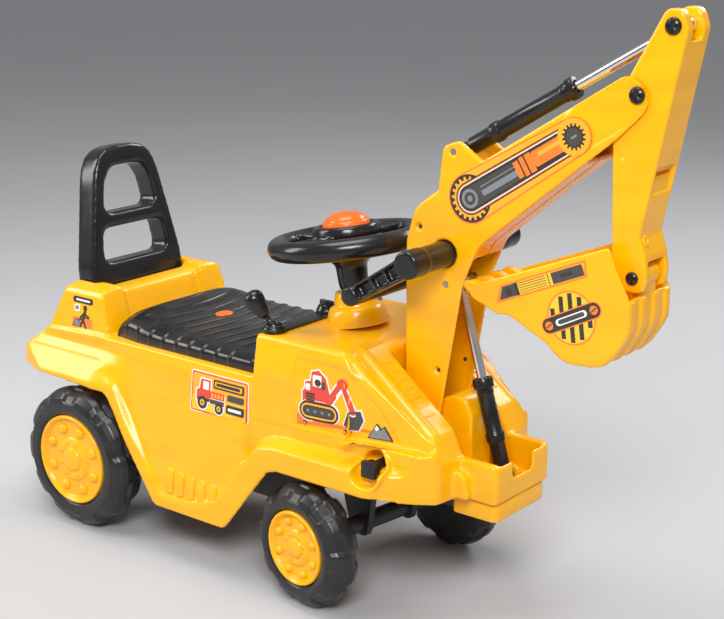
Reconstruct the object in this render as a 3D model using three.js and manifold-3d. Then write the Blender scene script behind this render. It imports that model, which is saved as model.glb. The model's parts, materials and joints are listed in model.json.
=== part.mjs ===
// Child's ride-on toy excavator: an assembly in millimetres, +X forward, +Y left, +Z up.
// The rear axle stands at x = 0 while the pieces are made; the last step moves the assembly
// so that the middle of its bounding box is over the origin and the wheels stand on z = 0.

import * as THREE from 'three';
import { mergeVertices } from 'three/addons/utils/BufferGeometryUtils.js';
import Module from 'manifold-3d';

const wasm = await Module();
wasm.setup();

// ---------------------------------------------------------------- driving dimensions

// running gear
const REAR_WHEEL_RADIUS = 85;
const REAR_WHEEL_WIDTH = 46;
const REAR_TRACK_OUTER = 138;
const REAR_HUB_RADIUS = 54;
const FRONT_WHEEL_RADIUS = 68;
const FRONT_WHEEL_WIDTH = 42;
const FRONT_TRACK_OUTER = 133;
const FRONT_HUB_RADIUS = 41;
const WHEELBASE = 362;
const AXLE_RADIUS = 5;
const KINGPIN_TRAIL = 16;
const KINGPIN_X = WHEELBASE - KINGPIN_TRAIL;
const KINGPIN_RADIUS = 7;
const STEER_ANGLE = THREE.MathUtils.degToRad(-8);

// body
const BODY_HALF_WIDTH = 128;
const SKIRT_BOTTOM = 58;
const FENDER_EDGE_Z = 179;
const DECK_Z = 234;
const DECK_HALF_WIDTH = 106;
const CONSOLE_Z = 281;
const CONSOLE_HALF_WIDTH = 98;
const CONSOLE_REAR_X = 264;
const HOOD_REAR_X = 388;
const HOOD_FRONT_X = 482;
const HOOD_FRONT_Z = 206;
const NOSE_X = 540;
const NOSE_Z = 180;
const PARTING_Z = 138;
const PAN_BOTTOM_Z = 118;
const NOSE_HALF_WIDTH = 50;
const TROUGH_HALF_WIDTH = 40;
const TROUGH_REAR_X = 398;
const SHELL_WALL = 4;
const HUMP_HALF_WIDTH = 19;

// steering column
const COLUMN_TILT = THREE.MathUtils.degToRad(9);
const COLUMN_X = 324;
const WHEEL_RIM_RADIUS = 76;
const WHEEL_RIM_SECTION = 12;
const WHEEL_HEIGHT = 86;
const STEERING_ROD_RADIUS = 6;
const HORN_RADIUS = 26;
const STRIP_THICKNESS = 2.5;
const LEVER_X = 276;
const LEVER_Y = -82;
const LEVER_BALL = 7;
const LEVER_HOLE_RADIUS = 10;
const KNOB_Y = 5;
const KNOB_RADIUS = 12;

// boom
const BOOM_HALF_WIDTH = 27;
const BOOM_WALL = 3.4;
const BOOM_FOOT_RADIUS = 22;
const BOOM_PIN_RADIUS = 6;
const PIVOT_HEAD_SIZE = 18;
const PIVOT_HEAD_INNER = 108;
const PIVOT_HEAD_OUTER = 118;
const PIVOT_NUT_RADIUS = 10;
const PIVOT_NUT_OUTER = 116;
const PIVOT_RECESS = [428, 170];
const PIVOT_RECESS_RADIUS = 17;
const ELBOW_PIN_RADIUS = 4.5;
const PIN_HEAD_RADIUS = 8;
const PIN_HEAD_SINK = 1;
const CYLINDER_PIN_RADIUS = 3;
const BOOM_PIVOT = [430, 172];
const ELBOW = [662, 557];
const HANDLE_AXIS = [456, 382];
const HANDLE_TUBE_RADIUS = 13.5;
const HANDLE_HALF_WIDTH = 94;
const HANDLE_HUB_RADIUS = 16;
const HANDLE_ARM_INNER = 66;
const HANDLE_ARM_WIDTH = 24;
const GRIP = [385, 339];
const GRIP_RADIUS = 12;
const BOOM_CYLINDER_FOOT = [516, 152];
const BOOM_CYLINDER_HEAD = [457, 350];
const STICK_CYLINDER_FOOT = [464, 485];

// stick and bucket
const STICK_HALF_WIDTH = 22.5;
const STICK_WALL = 4;
const STICK_TOP = [692, 619];
const BUCKET_PIVOT = [664, 389];
const BUCKET_HALF_WIDTH = 40;
const BUCKET_WALL = 3.5;
const BUCKET_PIN_RADIUS = 3.5;
const BUCKET_HEAD_RADIUS = 6.5;
const BUCKET_EYE_HALF_WIDTH = 14;

// linkage inside the boom
const CRANK_RADIUS = 45.3;
const LEVER_RADIUS = 11.5;
const STICK_SWING = THREE.MathUtils.degToRad(34);
const HANDLE_SWING = THREE.MathUtils.degToRad(9);
const LINK_PIN_RADIUS = 2.5;
const LEVER_PIN_RADIUS = 2;
const CRANK_INNER = 4;
const CRANK_OUTER = 10;
const PUSH_ROD_HALF_WIDTH = 3;

// fits
const GAP = 0.3;
const RUNNING_GAP = 0.6;
const LINK_SLACK = 1.0;
const EYE_SLACK = 1.8;
const HOLE_OVERRUN = 3;

// ---------------------------------------------------------------- solid helpers

/** Turns a three.js geometry into a manifold solid. */
function solid(geometry) {
  const bare = geometry.clone();
  bare.deleteAttribute('normal');
  bare.deleteAttribute('uv');
  const merged = mergeVertices(bare, 1e-4);
  const vertProperties = new Float32Array(merged.attributes.position.array);
  const triVerts = new Uint32Array(merged.index.array);
  return new wasm.Manifold(new wasm.Mesh({ numProp: 3, vertProperties, triVerts }));
}

/** Joins several solids. */
function join(...parts) {
  return parts.reduce((sum, part) => sum.add(part));
}

/** Takes several solids away from the first. */
function cut(base, ...tools) {
  return tools.reduce((rest, tool) => rest.subtract(tool), base);
}

/** Rounds the corners of a closed outline; a corner is [a, b] or [a, b, radius]. */
function rounded(corners, steps = 3) {
  const points = [];
  corners.forEach((corner, i) => {
    const radius = corner[2] ?? 0;
    const here = new THREE.Vector2(corner[0], corner[1]);
    if (radius === 0) {
      points.push(here);
      return;
    }
    const before = corners[(i + corners.length - 1) % corners.length];
    const after = corners[(i + 1) % corners.length];
    const toBefore = new THREE.Vector2(before[0], before[1]).sub(here).normalize();
    const toAfter = new THREE.Vector2(after[0], after[1]).sub(here).normalize();
    const half = Math.acos(THREE.MathUtils.clamp(toBefore.dot(toAfter), -1, 1)) / 2;
    const reach = radius / Math.tan(half);
    const bisector = toBefore.clone().add(toAfter).normalize();
    const centre = here.clone().addScaledVector(bisector, radius / Math.sin(half));
    const start = here.clone().addScaledVector(toBefore, reach).sub(centre);
    const end = here.clone().addScaledVector(toAfter, reach).sub(centre);
    const sweep = Math.atan2(start.cross(end), start.dot(end));
    for (let k = 0; k <= steps; k += 1) {
      const spoke = start.clone().rotateAround(new THREE.Vector2(), (sweep * k) / steps);
      points.push(centre.clone().add(spoke));
    }
  });
  return points;
}

/** Extrudes an outline by a depth along +Z. */
function extruded(outline, depth, steps) {
  const shape = new THREE.Shape(rounded(outline, steps));
  return new THREE.ExtrudeGeometry(shape, { depth, bevelEnabled: false, curveSegments: 1 });
}

/** A side outline of [x, z] corners, solid from y0 to y1. */
function sidePrism(outline, y0, y1, steps) {
  const geometry = extruded(outline, y1 - y0, steps);
  geometry.rotateX(Math.PI / 2);
  geometry.translate(0, y1, 0);
  return solid(geometry);
}

/** A plan outline of [x, y] corners, solid from z0 to z1. */
function planPrism(outline, z0, z1, steps) {
  const geometry = extruded(outline, z1 - z0, steps);
  geometry.translate(0, 0, z0);
  return solid(geometry);
}

/** A front outline of [y, z] corners, solid from x0 to x1. */
function frontPrism(outline, x0, x1, steps) {
  const geometry = extruded(outline, x1 - x0, steps);
  geometry.applyMatrix4(new THREE.Matrix4().set(0, 0, 1, x0, 1, 0, 0, 0, 0, 1, 0, 0, 0, 0, 0, 1));
  return solid(geometry);
}

/** A box between two opposite corners. */
function block(x0, x1, y0, y1, z0, z1) {
  const geometry = new THREE.BoxGeometry(x1 - x0, y1 - y0, z1 - z0);
  geometry.translate((x0 + x1) / 2, (y0 + y1) / 2, (z0 + z1) / 2);
  return solid(geometry);
}

/** A box that is mirrored onto both sides of the y = 0 plane. */
function blockPair(x0, x1, y0, y1, z0, z1) {
  return join(block(x0, x1, y0, y1, z0, z1), block(x0, x1, -y1, -y0, z0, z1));
}

/** Turns a [radius, height] profile about an axis that starts at a point. */
function turned(profile, origin, axis, segments) {
  const points = profile.map(([radius, height]) => new THREE.Vector2(radius, height));
  points.push(points[0].clone());
  const geometry = new THREE.LatheGeometry(points, segments);
  const up = new THREE.Vector3(0, 1, 0);
  geometry.applyQuaternion(new THREE.Quaternion().setFromUnitVectors(up, axis.clone().normalize()));
  geometry.translate(origin.x, origin.y, origin.z);
  return outwardSolid(geometry);
}

/** A solid whose faces are flipped where the profile was drawn the other way round. */
function outwardSolid(geometry) {
  const bare = geometry.clone();
  bare.deleteAttribute('normal');
  bare.deleteAttribute('uv');
  const merged = mergeVertices(bare, 1e-4);
  const position = merged.attributes.position;
  const index = Array.from(merged.index.array);
  const corners = [new THREE.Vector3(), new THREE.Vector3(), new THREE.Vector3()];
  const kept = [];
  let volume = 0;
  for (let i = 0; i < index.length; i += 3) {
    const [a, b, c] = index.slice(i, i + 3);
    if (a === b || b === c || c === a) {
      continue;
    }
    kept.push(a, b, c);
    corners.forEach((corner, k) => corner.fromBufferAttribute(position, index[i + k]));
    volume += corners[0].dot(corners[1].cross(corners[2]));
  }
  if (volume < 0) {
    for (let i = 0; i < kept.length; i += 3) {
      [kept[i + 1], kept[i + 2]] = [kept[i + 2], kept[i + 1]];
    }
  }
  const vertProperties = new Float32Array(position.array);
  const triVerts = new Uint32Array(kept);
  return new wasm.Manifold(new wasm.Mesh({ numProp: 3, vertProperties, triVerts }));
}

/** A round bar between two points. */
function bar(from, to, radius, segments = 16) {
  const axis = to.clone().sub(from);
  const profile = [[0, 0], [radius, 0], [radius, axis.length()], [0, axis.length()]];
  return turned(profile, from, axis, segments);
}

/** A round bar along Y through a side point [x, z]. */
function crossBar(point, y0, y1, radius, segments = 16) {
  const from = new THREE.Vector3(point[0], y0, point[1]);
  const to = new THREE.Vector3(point[0], y1, point[1]);
  return bar(from, to, radius, segments);
}

/** A tube along Y through a side point [x, z]. */
function crossTube(point, y0, y1, radius, bore, segments = 16) {
  const profile = [[bore, 0], [radius, 0], [radius, y1 - y0], [bore, y1 - y0]];
  return turned(profile, new THREE.Vector3(point[0], y0, point[1]), new THREE.Vector3(0, 1, 0), segments);
}

/** Turns a solid by an angle about a vertical line through (x, 0). */
function turnedAboutVertical(part, x, angle) {
  const degrees = THREE.MathUtils.radToDeg(angle);
  return part.translate([-x, 0, 0]).rotate([0, 0, degrees]).translate([x, 0, 0]);
}

/** A copy of a solid on the other side of the y = 0 plane. */
function mirroredY(part) {
  return part.mirror([0, 1, 0]);
}

// ---------------------------------------------------------------- the assembly

const excavator = new THREE.Group();
excavator.name = 'toy_excavator';

/** Adds one named piece with its own material. */
function addPiece(name, part, colour, roughness, metalness = 0) {
  const mesh = part.getMesh();
  const geometry = new THREE.BufferGeometry();
  const positions = new Float32Array(mesh.numVert * 3);
  for (let i = 0; i < mesh.numVert; i += 1) {
    for (let k = 0; k < 3; k += 1) {
      positions[i * 3 + k] = mesh.vertProperties[i * mesh.numProp + k];
    }
  }
  geometry.setAttribute('position', new THREE.BufferAttribute(positions, 3));
  geometry.setIndex(new THREE.BufferAttribute(new Uint32Array(mesh.triVerts), 1));
  const material = new THREE.MeshStandardMaterial({ color: colour, roughness, metalness });
  const piece = new THREE.Mesh(geometry, material);
  piece.name = name;
  excavator.add(piece);
}

const YELLOW = 0xffb60a;
const BLACK = 0x1c1b1b;
const DARK_GREY = 0x2a2a2c;
const TYRE_BLACK = 0x2b2a2a;
const ORANGE = 0xf2641c;
const STEEL = 0xb9bcc0;
const CHROME = 0xd9dcdf;

// ---------------------------------------------------------------- wheels

const LUG_DEPTH = 3.5;
const LUG_COUNT = 10;
const HUB_RECESS = 14;
const WASHER_RADIUS = 11;

/** A tyre about +Y, its inner face on y = 0, with a notch in the tread between the lugs. */
function tyre(radius, width, hubRadius) {
  const bore = AXLE_RADIUS + RUNNING_GAP;
  const recess = hubRadius + GAP;
  const rows = [
    [bore, 0, 0],
    [radius - 16, 0, 0],
    [radius - 3, 7, 1],
    [radius, 14, 1],
    [radius, width - 13, 1],
    [radius - 4, width - 5, 1],
    [radius - 14, width, 0],
    [recess + 2, width, 0],
    [recess, width - 3, 0],
    [recess, width - HUB_RECESS, 0],
    [bore, width - HUB_RECESS, 0],
  ];
  const segments = LUG_COUNT * 3;
  const positions = [];
  for (let s = 0; s < segments; s += 1) {
    const angle = (2 * Math.PI * s) / segments;
    const notch = s % 3 === 1 ? LUG_DEPTH : 0;
    rows.forEach(([r, y, treaded]) => {
      const here = r - notch * treaded;
      positions.push(here * Math.sin(angle), y, here * Math.cos(angle));
    });
  }
  const index = [];
  for (let s = 0; s < segments; s += 1) {
    const next = (s + 1) % segments;
    rows.forEach((row, i) => {
      const j = (i + 1) % rows.length;
      const a = s * rows.length + i;
      const b = s * rows.length + j;
      const c = next * rows.length + j;
      const d = next * rows.length + i;
      index.push(a, b, c, a, c, d);
    });
  }
  const geometry = new THREE.BufferGeometry();
  geometry.setAttribute('position', new THREE.BufferAttribute(new Float32Array(positions), 3));
  geometry.setIndex(index);
  return outwardSolid(geometry);
}

/** A dished hub cap with eight bolt heads and a hollow for the end of the axle. */
function hubCap(width, hubRadius) {
  const back = width - HUB_RECESS + GAP;
  const profile = [
    [0, width - 6],
    [WASHER_RADIUS + 2, width - 6],
    [WASHER_RADIUS + 2, back],
    [hubRadius, back],
    [hubRadius, width - 1.5],
    [hubRadius - 2, width],
    [hubRadius - 6, width - 4],
    [hubRadius * 0.42, width - 4],
    [hubRadius * 0.36, width - 1],
    [0, width - 1],
  ];
  const up = new THREE.Vector3(0, 1, 0);
  let cap = turned(profile, new THREE.Vector3(), up, 20);
  const boltCount = 8;
  for (let i = 0; i < boltCount; i += 1) {
    const angle = (2 * Math.PI * i) / boltCount;
    const reach = hubRadius * 0.68;
    const at = [reach * Math.sin(angle), reach * Math.cos(angle)];
    cap = cap.add(crossBar(at, width - 5, width - 1, hubRadius * 0.1, 6));
  }
  return cap;
}

/** Places a wheel part that was made about +Y on one side; side is 1 for left, -1 for right. */
function placeWheel(part, side, outer, width, x, z) {
  const turnedPart = side > 0 ? part : part.rotate([0, 0, 180]);
  return turnedPart.translate([x, side * (outer - width), z]);
}

/** Turns a part of the front bogie to the modelled steering angle. */
function steer(part) {
  return turnedAboutVertical(part, KINGPIN_X, STEER_ANGLE);
}

const SIDES = [['right', -1], ['left', 1]];

for (const [side, sign] of SIDES) {
  const rearTyre = tyre(REAR_WHEEL_RADIUS, REAR_WHEEL_WIDTH, REAR_HUB_RADIUS);
  const rearCap = hubCap(REAR_WHEEL_WIDTH, REAR_HUB_RADIUS);
  const rearPlace = [REAR_TRACK_OUTER, REAR_WHEEL_WIDTH, 0, REAR_WHEEL_RADIUS];
  addPiece(`rear_tyre_${side}`, placeWheel(rearTyre, sign, ...rearPlace), TYRE_BLACK, 0.55);
  addPiece(`rear_hub_cap_${side}`, placeWheel(rearCap, sign, ...rearPlace), YELLOW, 0.35);

  const frontTyre = tyre(FRONT_WHEEL_RADIUS, FRONT_WHEEL_WIDTH, FRONT_HUB_RADIUS);
  const frontCap = hubCap(FRONT_WHEEL_WIDTH, FRONT_HUB_RADIUS);
  const frontPlace = [FRONT_TRACK_OUTER, FRONT_WHEEL_WIDTH, WHEELBASE, FRONT_WHEEL_RADIUS];
  addPiece(`front_tyre_${side}`, steer(placeWheel(frontTyre, sign, ...frontPlace)), TYRE_BLACK, 0.55);
  addPiece(`front_hub_cap_${side}`, steer(placeWheel(frontCap, sign, ...frontPlace)), YELLOW, 0.35);
}

/** An axle through both wheels of a pair, with its two push-on washers. */
function axlePieces(outer, x, z) {
  const end = outer - 8;
  const axle = crossBar([x, z], -end, end, AXLE_RADIUS, 16);
  const washerInner = outer - HUB_RECESS + 2;
  const bore = AXLE_RADIUS + GAP;
  const washer = crossTube([x, z], washerInner, washerInner + 2, WASHER_RADIUS, bore, 16);
  return { axle, washer };
}

const rearAxle = axlePieces(REAR_TRACK_OUTER, 0, REAR_WHEEL_RADIUS);
addPiece('rear_axle', rearAxle.axle, STEEL, 0.35, 1);
addPiece('rear_washer_left', rearAxle.washer, STEEL, 0.4, 1);
addPiece('rear_washer_right', mirroredY(rearAxle.washer), STEEL, 0.4, 1);

const frontAxle = axlePieces(FRONT_TRACK_OUTER, WHEELBASE, FRONT_WHEEL_RADIUS);
addPiece('front_axle', steer(frontAxle.axle), STEEL, 0.35, 1);
addPiece('front_washer_left', steer(frontAxle.washer), STEEL, 0.4, 1);
addPiece('front_washer_right', steer(mirroredY(frontAxle.washer)), STEEL, 0.4, 1);

// ---------------------------------------------------------------- undertray and bogie

const TRAY_TOP_Z = PARTING_Z - GAP;
const BOGIE_TOP_Z = PAN_BOTTOM_Z - 2;
const BOGIE_PLATE = 12;
const KINGPIN_TOP_Z = 158;
const AXLE_SLEEVE_RADIUS = 10;
const BOGIE_LEG_INNER = 30;
const BOGIE_LEG_OUTER = 38;
const REAR_WHEEL_INNER = REAR_TRACK_OUTER - REAR_WHEEL_WIDTH;
const FRONT_WHEEL_INNER = FRONT_TRACK_OUTER - FRONT_WHEEL_WIDTH;

const trayProfile = [
  [-64, 176, 6],
  [-64, 80, 10],
  [60, 62, 12],
  [258, 62, 10],
  [286, PAN_BOTTOM_Z, 6],
  [483, PAN_BOTTOM_Z],
  [483, TRAY_TOP_Z],
  [66, TRAY_TOP_Z],
  [44, 176],
];
const rearSleeve = crossBar([0, REAR_WHEEL_RADIUS], -REAR_WHEEL_INNER + 1, REAR_WHEEL_INNER - 1,
  AXLE_SLEEVE_RADIUS, 18);
const undertray = cut(
  join(sidePrism(trayProfile, -34, 34, 2), blockPair(-56, 36, 33, 70, 90, 174), rearSleeve),
  crossBar([0, REAR_WHEEL_RADIUS], -REAR_WHEEL_INNER, REAR_WHEEL_INNER, AXLE_RADIUS + GAP, 18),
  bar(new THREE.Vector3(KINGPIN_X, 0, 0), new THREE.Vector3(KINGPIN_X, 0, CONSOLE_Z),
    KINGPIN_RADIUS + RUNNING_GAP, 20),
  block(72, 252, -30, 30, 40, 120),
);
addPiece('undertray', undertray, DARK_GREY, 0.6);

const frontSleeve = crossBar([WHEELBASE, FRONT_WHEEL_RADIUS], -FRONT_WHEEL_INNER + 1,
  FRONT_WHEEL_INNER - 1, AXLE_SLEEVE_RADIUS, 18);
const kingpin = bar(new THREE.Vector3(KINGPIN_X, 0, BOGIE_TOP_Z - 4),
  new THREE.Vector3(KINGPIN_X, 0, KINGPIN_TOP_Z), KINGPIN_RADIUS, 20);
const plateRear = WHEELBASE - 40;
const plateFront = WHEELBASE + 26;
const bogiePlate = planPrism(
  [[plateRear, -40, 8], [plateFront, -40, 8], [plateFront, 40, 8], [plateRear, 40, 8]],
  BOGIE_TOP_Z - BOGIE_PLATE, BOGIE_TOP_Z, 2);
const legFoot = FRONT_WHEEL_RADIUS - 12;
const legSide = [
  [WHEELBASE - 28, BOGIE_TOP_Z - 4], [WHEELBASE - 12, legFoot, 6], [WHEELBASE + 12, legFoot, 6],
  [WHEELBASE + 22, BOGIE_TOP_Z - 4],
];
const bogieLeg = sidePrism(legSide, BOGIE_LEG_INNER, BOGIE_LEG_OUTER, 2);
const bogieLegs = join(bogieLeg, sidePrism(legSide, -BOGIE_LEG_OUTER, -BOGIE_LEG_INNER, 2));
const bogie = cut(
  join(bogiePlate, bogieLegs, frontSleeve, kingpin),
  crossBar([WHEELBASE, FRONT_WHEEL_RADIUS], -FRONT_WHEEL_INNER, FRONT_WHEEL_INNER,
    AXLE_RADIUS + GAP, 18),
);
addPiece('steering_bogie', steer(bogie), DARK_GREY, 0.6);

// ---------------------------------------------------------------- body shell

const bodySide = [
  [-108, FENDER_EDGE_Z, 3],
  [-100, 204, 10],
  [-70, 228, 14],
  [-66, 229],
  [20, DECK_Z],
  [CONSOLE_REAR_X, DECK_Z],
  [CONSOLE_REAR_X, CONSOLE_Z, 5],
  [HOOD_REAR_X, CONSOLE_Z, 8],
  [HOOD_FRONT_X, HOOD_FRONT_Z, 7],
  [494, NOSE_Z, 3],
  [NOSE_X, NOSE_Z, 5],
  [NOSE_X, PARTING_Z],
  [470, PARTING_Z],
  [440, 142, 6],
  [312, 142, 8],
  [300, 138, 6],
  [236, SKIRT_BOTTOM, 8],
  [127, SKIRT_BOTTOM, 8],
  [48, FENDER_EDGE_Z - 5, 12],
  [-20, FENDER_EDGE_Z - 1, 3],
];
const bodyFront = [
  [-BODY_HALF_WIDTH, SKIRT_BOTTOM - 1],
  [-BODY_HALF_WIDTH, 182, 10],
  [-DECK_HALF_WIDTH - 3, 214, 12],
  [-DECK_HALF_WIDTH, DECK_Z],
  [-CONSOLE_HALF_WIDTH, CONSOLE_Z + 1, 6],
  [CONSOLE_HALF_WIDTH, CONSOLE_Z + 1, 6],
  [DECK_HALF_WIDTH, DECK_Z],
  [DECK_HALF_WIDTH + 3, 214, 12],
  [BODY_HALF_WIDTH, 182, 10],
  [BODY_HALF_WIDTH, SKIRT_BOTTOM - 1],
];
const bodyPlan = [
  [-109, -110, 16],
  [-60, -BODY_HALF_WIDTH, 20],
  [430, -BODY_HALF_WIDTH + 3, 26],
  [492, -84, 10],
  [496, -NOSE_HALF_WIDTH],
  [NOSE_X + 1, -NOSE_HALF_WIDTH, 7],
  [NOSE_X + 1, NOSE_HALF_WIDTH, 7],
  [496, NOSE_HALF_WIDTH],
  [492, 84, 10],
  [430, BODY_HALF_WIDTH - 3, 26],
  [-60, BODY_HALF_WIDTH, 20],
  [-109, 110, 16],
];

const bodyOuter = sidePrism(bodySide, -BODY_HALF_WIDTH, BODY_HALF_WIDTH, 2)
  .intersect(frontPrism(bodyFront, -120, NOSE_X + 2, 2))
  .intersect(planPrism(bodyPlan, 0, CONSOLE_Z + 2, 3));

// the hood narrows towards its front end above the fenders
const hoodTrim = planPrism([[392, -130], [392, -100], [HOOD_FRONT_X, -80], [500, -80], [500, -130]],
  192, 300);

// the hollow behind the skirts, above the front wheels and inside the console
const skirtHollow = sidePrism([[30, 40], [30, 172], [302, 172], [340, 140], [340, 40]],
  -BODY_HALF_WIDTH + SHELL_WALL, BODY_HALF_WIDTH - SHELL_WALL);
const flareHollow = sidePrism([[-98, 160], [-96, 190], [60, 196], [300, 196], [300, 160]], -114, 114);
const deckHollow = sidePrism(
  [[-94, 170], [-88, 198], [-64, 223], [20, DECK_Z - SHELL_WALL], [300, DECK_Z - SHELL_WALL],
    [300, 170]],
  -DECK_HALF_WIDTH + SHELL_WALL, DECK_HALF_WIDTH - SHELL_WALL);
const wheelHollow = planPrism(
  [[290, -124], [424, -121], [478, -82], [478, 82], [424, 121], [290, 124]], 100, 184);
const consoleHollow = sidePrism(
  [[CONSOLE_REAR_X + SHELL_WALL, 140], [CONSOLE_REAR_X + SHELL_WALL, CONSOLE_Z - SHELL_WALL],
    [HOOD_REAR_X - 4, CONSOLE_Z - SHELL_WALL], [HOOD_FRONT_X - 6, HOOD_FRONT_Z - 7],
    [HOOD_FRONT_X - 6, 140]],
  -76, 76);
const dashHollow = block(CONSOLE_REAR_X + SHELL_WALL, HOOD_REAR_X - SHELL_WALL, -CONSOLE_HALF_WIDTH + 5,
  CONSOLE_HALF_WIDTH - 5, 140, CONSOLE_Z - SHELL_WALL);
const troughOuter = block(TROUGH_REAR_X - SHELL_WALL, NOSE_X + 1, -TROUGH_HALF_WIDTH - SHELL_WALL,
  TROUGH_HALF_WIDTH + SHELL_WALL, PARTING_Z, 300);
const hollows = join(skirtHollow, flareHollow, deckHollow, wheelHollow, consoleHollow, dashHollow)
  .subtract(troughOuter);

const troughFloor = PARTING_Z + SHELL_WALL;
const trough = sidePrism(
  [[TROUGH_REAR_X, troughFloor], [NOSE_X - SHELL_WALL, troughFloor], [NOSE_X - SHELL_WALL, 300],
    [TROUGH_REAR_X, 300]],
  -TROUGH_HALF_WIDTH, TROUGH_HALF_WIDTH);
const noseNotch = sidePrism([[500, 160], [560, 160], [560, 200], [500, 200]], -18, 18);

const hump = sidePrism(
  [[416, troughFloor - 1], [418, 180, 6], [449, 226, 8], [464, 233, 6], [480, 231, 10],
    [487, 214, 8], [488, troughFloor - 1]],
  -HUMP_HALF_WIDTH, HUMP_HALF_WIDTH, 2);
const footLug = sidePrism(
  [[504, troughFloor - 1], [506, 160, 6], [526, 160, 6], [528, troughFloor - 1]], 12, 17, 2);
const rearHump = frontPrism([[62, 220], [62, 288, 8], [97, 284, 10], [104, 220]], -72, 40, 2)
  .intersect(sidePrism([[-72, 220], [-36, 290, 8], [22, 290, 10], [40, 220]], 50, 110, 2));
const rearBridge = sidePrism([[-46, 220], [-40, 280, 5], [16, 280, 6], [34, 220]], -64, 64, 2);

const BACKREST_SLOT = [-50, -10];
const pinHole = crossBar(BOOM_PIVOT, -BODY_HALF_WIDTH - 12, BODY_HALF_WIDTH + 12, BOOM_PIN_RADIUS + GAP, 18);
const recessFloor = PIVOT_HEAD_INNER - 1;
const recessCup = crossBar(PIVOT_RECESS, recessFloor - 6, BODY_HALF_WIDTH - 6,
  PIVOT_RECESS_RADIUS + SHELL_WALL, 18);
const headRecess = join(
  crossBar(PIVOT_RECESS, -BODY_HALF_WIDTH - 12, -recessFloor, PIVOT_RECESS_RADIUS, 18),
  crossBar(PIVOT_RECESS, recessFloor, BODY_HALF_WIDTH + 12, PIVOT_RECESS_RADIUS, 18),
);
const columnHole = bar(new THREE.Vector3(COLUMN_X + 6, 0, CONSOLE_Z - 34),
  new THREE.Vector3(COLUMN_X - 3, 0, CONSOLE_Z + 23), STEERING_ROD_RADIUS * 2, 20);
const kingpinRoom = bar(new THREE.Vector3(KINGPIN_X, 0, PAN_BOTTOM_Z),
  new THREE.Vector3(KINGPIN_X, 0, KINGPIN_TOP_Z + HOLE_OVERRUN), KINGPIN_RADIUS + RUNNING_GAP, 20);
const leverHole = bar(new THREE.Vector3(LEVER_X, LEVER_Y, CONSOLE_Z - 15),
  new THREE.Vector3(LEVER_X, LEVER_Y, CONSOLE_Z + 19), LEVER_HOLE_RADIUS, 16);
const backrestPocket = block(BACKREST_SLOT[0] - 1, BACKREST_SLOT[1] + 1, -75, 75, 262, 300);

const bodyShell = cut(
  join(cut(bodyOuter, hoodTrim, mirroredY(hoodTrim), hollows, trough), hump, footLug, mirroredY(footLug),
    recessCup, mirroredY(recessCup), rearHump, mirroredY(rearHump), rearBridge),
  noseNotch, pinHole, headRecess, columnHole, kingpinRoom, leverHole, backrestPocket,
  crossBar(BOOM_CYLINDER_FOOT, -18, 18, CYLINDER_PIN_RADIUS + GAP, 12),
);
addPiece('body_shell', bodyShell, YELLOW, 0.35);

const lowerPan = cut(
  planPrism([[484, -46, 4], [NOSE_X - 2, -46, 8], [NOSE_X - 2, 46, 8], [484, 46, 4]],
    PAN_BOTTOM_Z, PARTING_Z - GAP, 2),
  block(490, 532, -40, 40, 110, PARTING_Z - 5),
);
addPiece('lower_pan', lowerPan, YELLOW, 0.35);

// ---------------------------------------------------------------- seat and backrest

const SEAT_BOTTOM = DECK_Z + GAP;
const seatFront = [
  [-97, SEAT_BOTTOM], [-97, 242, 3], [-84, 249, 5], [-40, 254, 20], [0, 255.5], [40, 254, 20],
  [84, 249, 5], [97, 242, 3], [97, SEAT_BOTTOM],
];
const seatSide = [
  [36, SEAT_BOTTOM - 1], [40, 266, 12], [66, 266, 20], [110, 254, 30], [250, 254, 10],
  [262, 246, 4], [262, SEAT_BOTTOM - 1],
];
const seatCrown = frontPrism(seatFront, 30, 262, 2);
const seatRise = frontPrism([[-92, SEAT_BOTTOM], [-84, 262, 10], [0, 268], [84, 262, 10],
  [92, SEAT_BOTTOM]], 40, 120, 2);
const seatBlank = join(seatCrown, seatRise).intersect(sidePrism(seatSide, -98, 98, 2));
const seatHollow = block(50, 252, -86, 86, SEAT_BOTTOM - 5, SEAT_BOTTOM + 7);
const ovalPocket = planPrism([[112, -13, 6], [136, -13, 6], [136, 13, 6], [112, 13, 6]], 252, 280, 2);
const humpFit = join(rearHump, mirroredY(rearHump), rearBridge);
const humpRoom = block(0, 41, -110, 110, 200, 300);
let seat = cut(seatBlank, seatHollow, ovalPocket, humpRoom);
const GROOVE_COUNT = 9;
for (let i = 0; i < GROOVE_COUNT; i += 1) {
  const x = 74 + i * 20;
  if (x < 108 || x > 140) {
    seat = seat.subtract(block(x, x + 2, -70, 70, 252.5, 280));
  }
}
addPiece('seat', seat, BLACK, 0.4);

const seatOval = planPrism(
  [[112 + GAP, -13 + GAP, 6], [136 - GAP, -13 + GAP, 6], [136 - GAP, 13 - GAP, 6],
    [112 + GAP, 13 - GAP, 6]], 252 + GAP, 256, 2);
addPiece('seat_oval', seatOval, ORANGE, 0.4);

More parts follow.
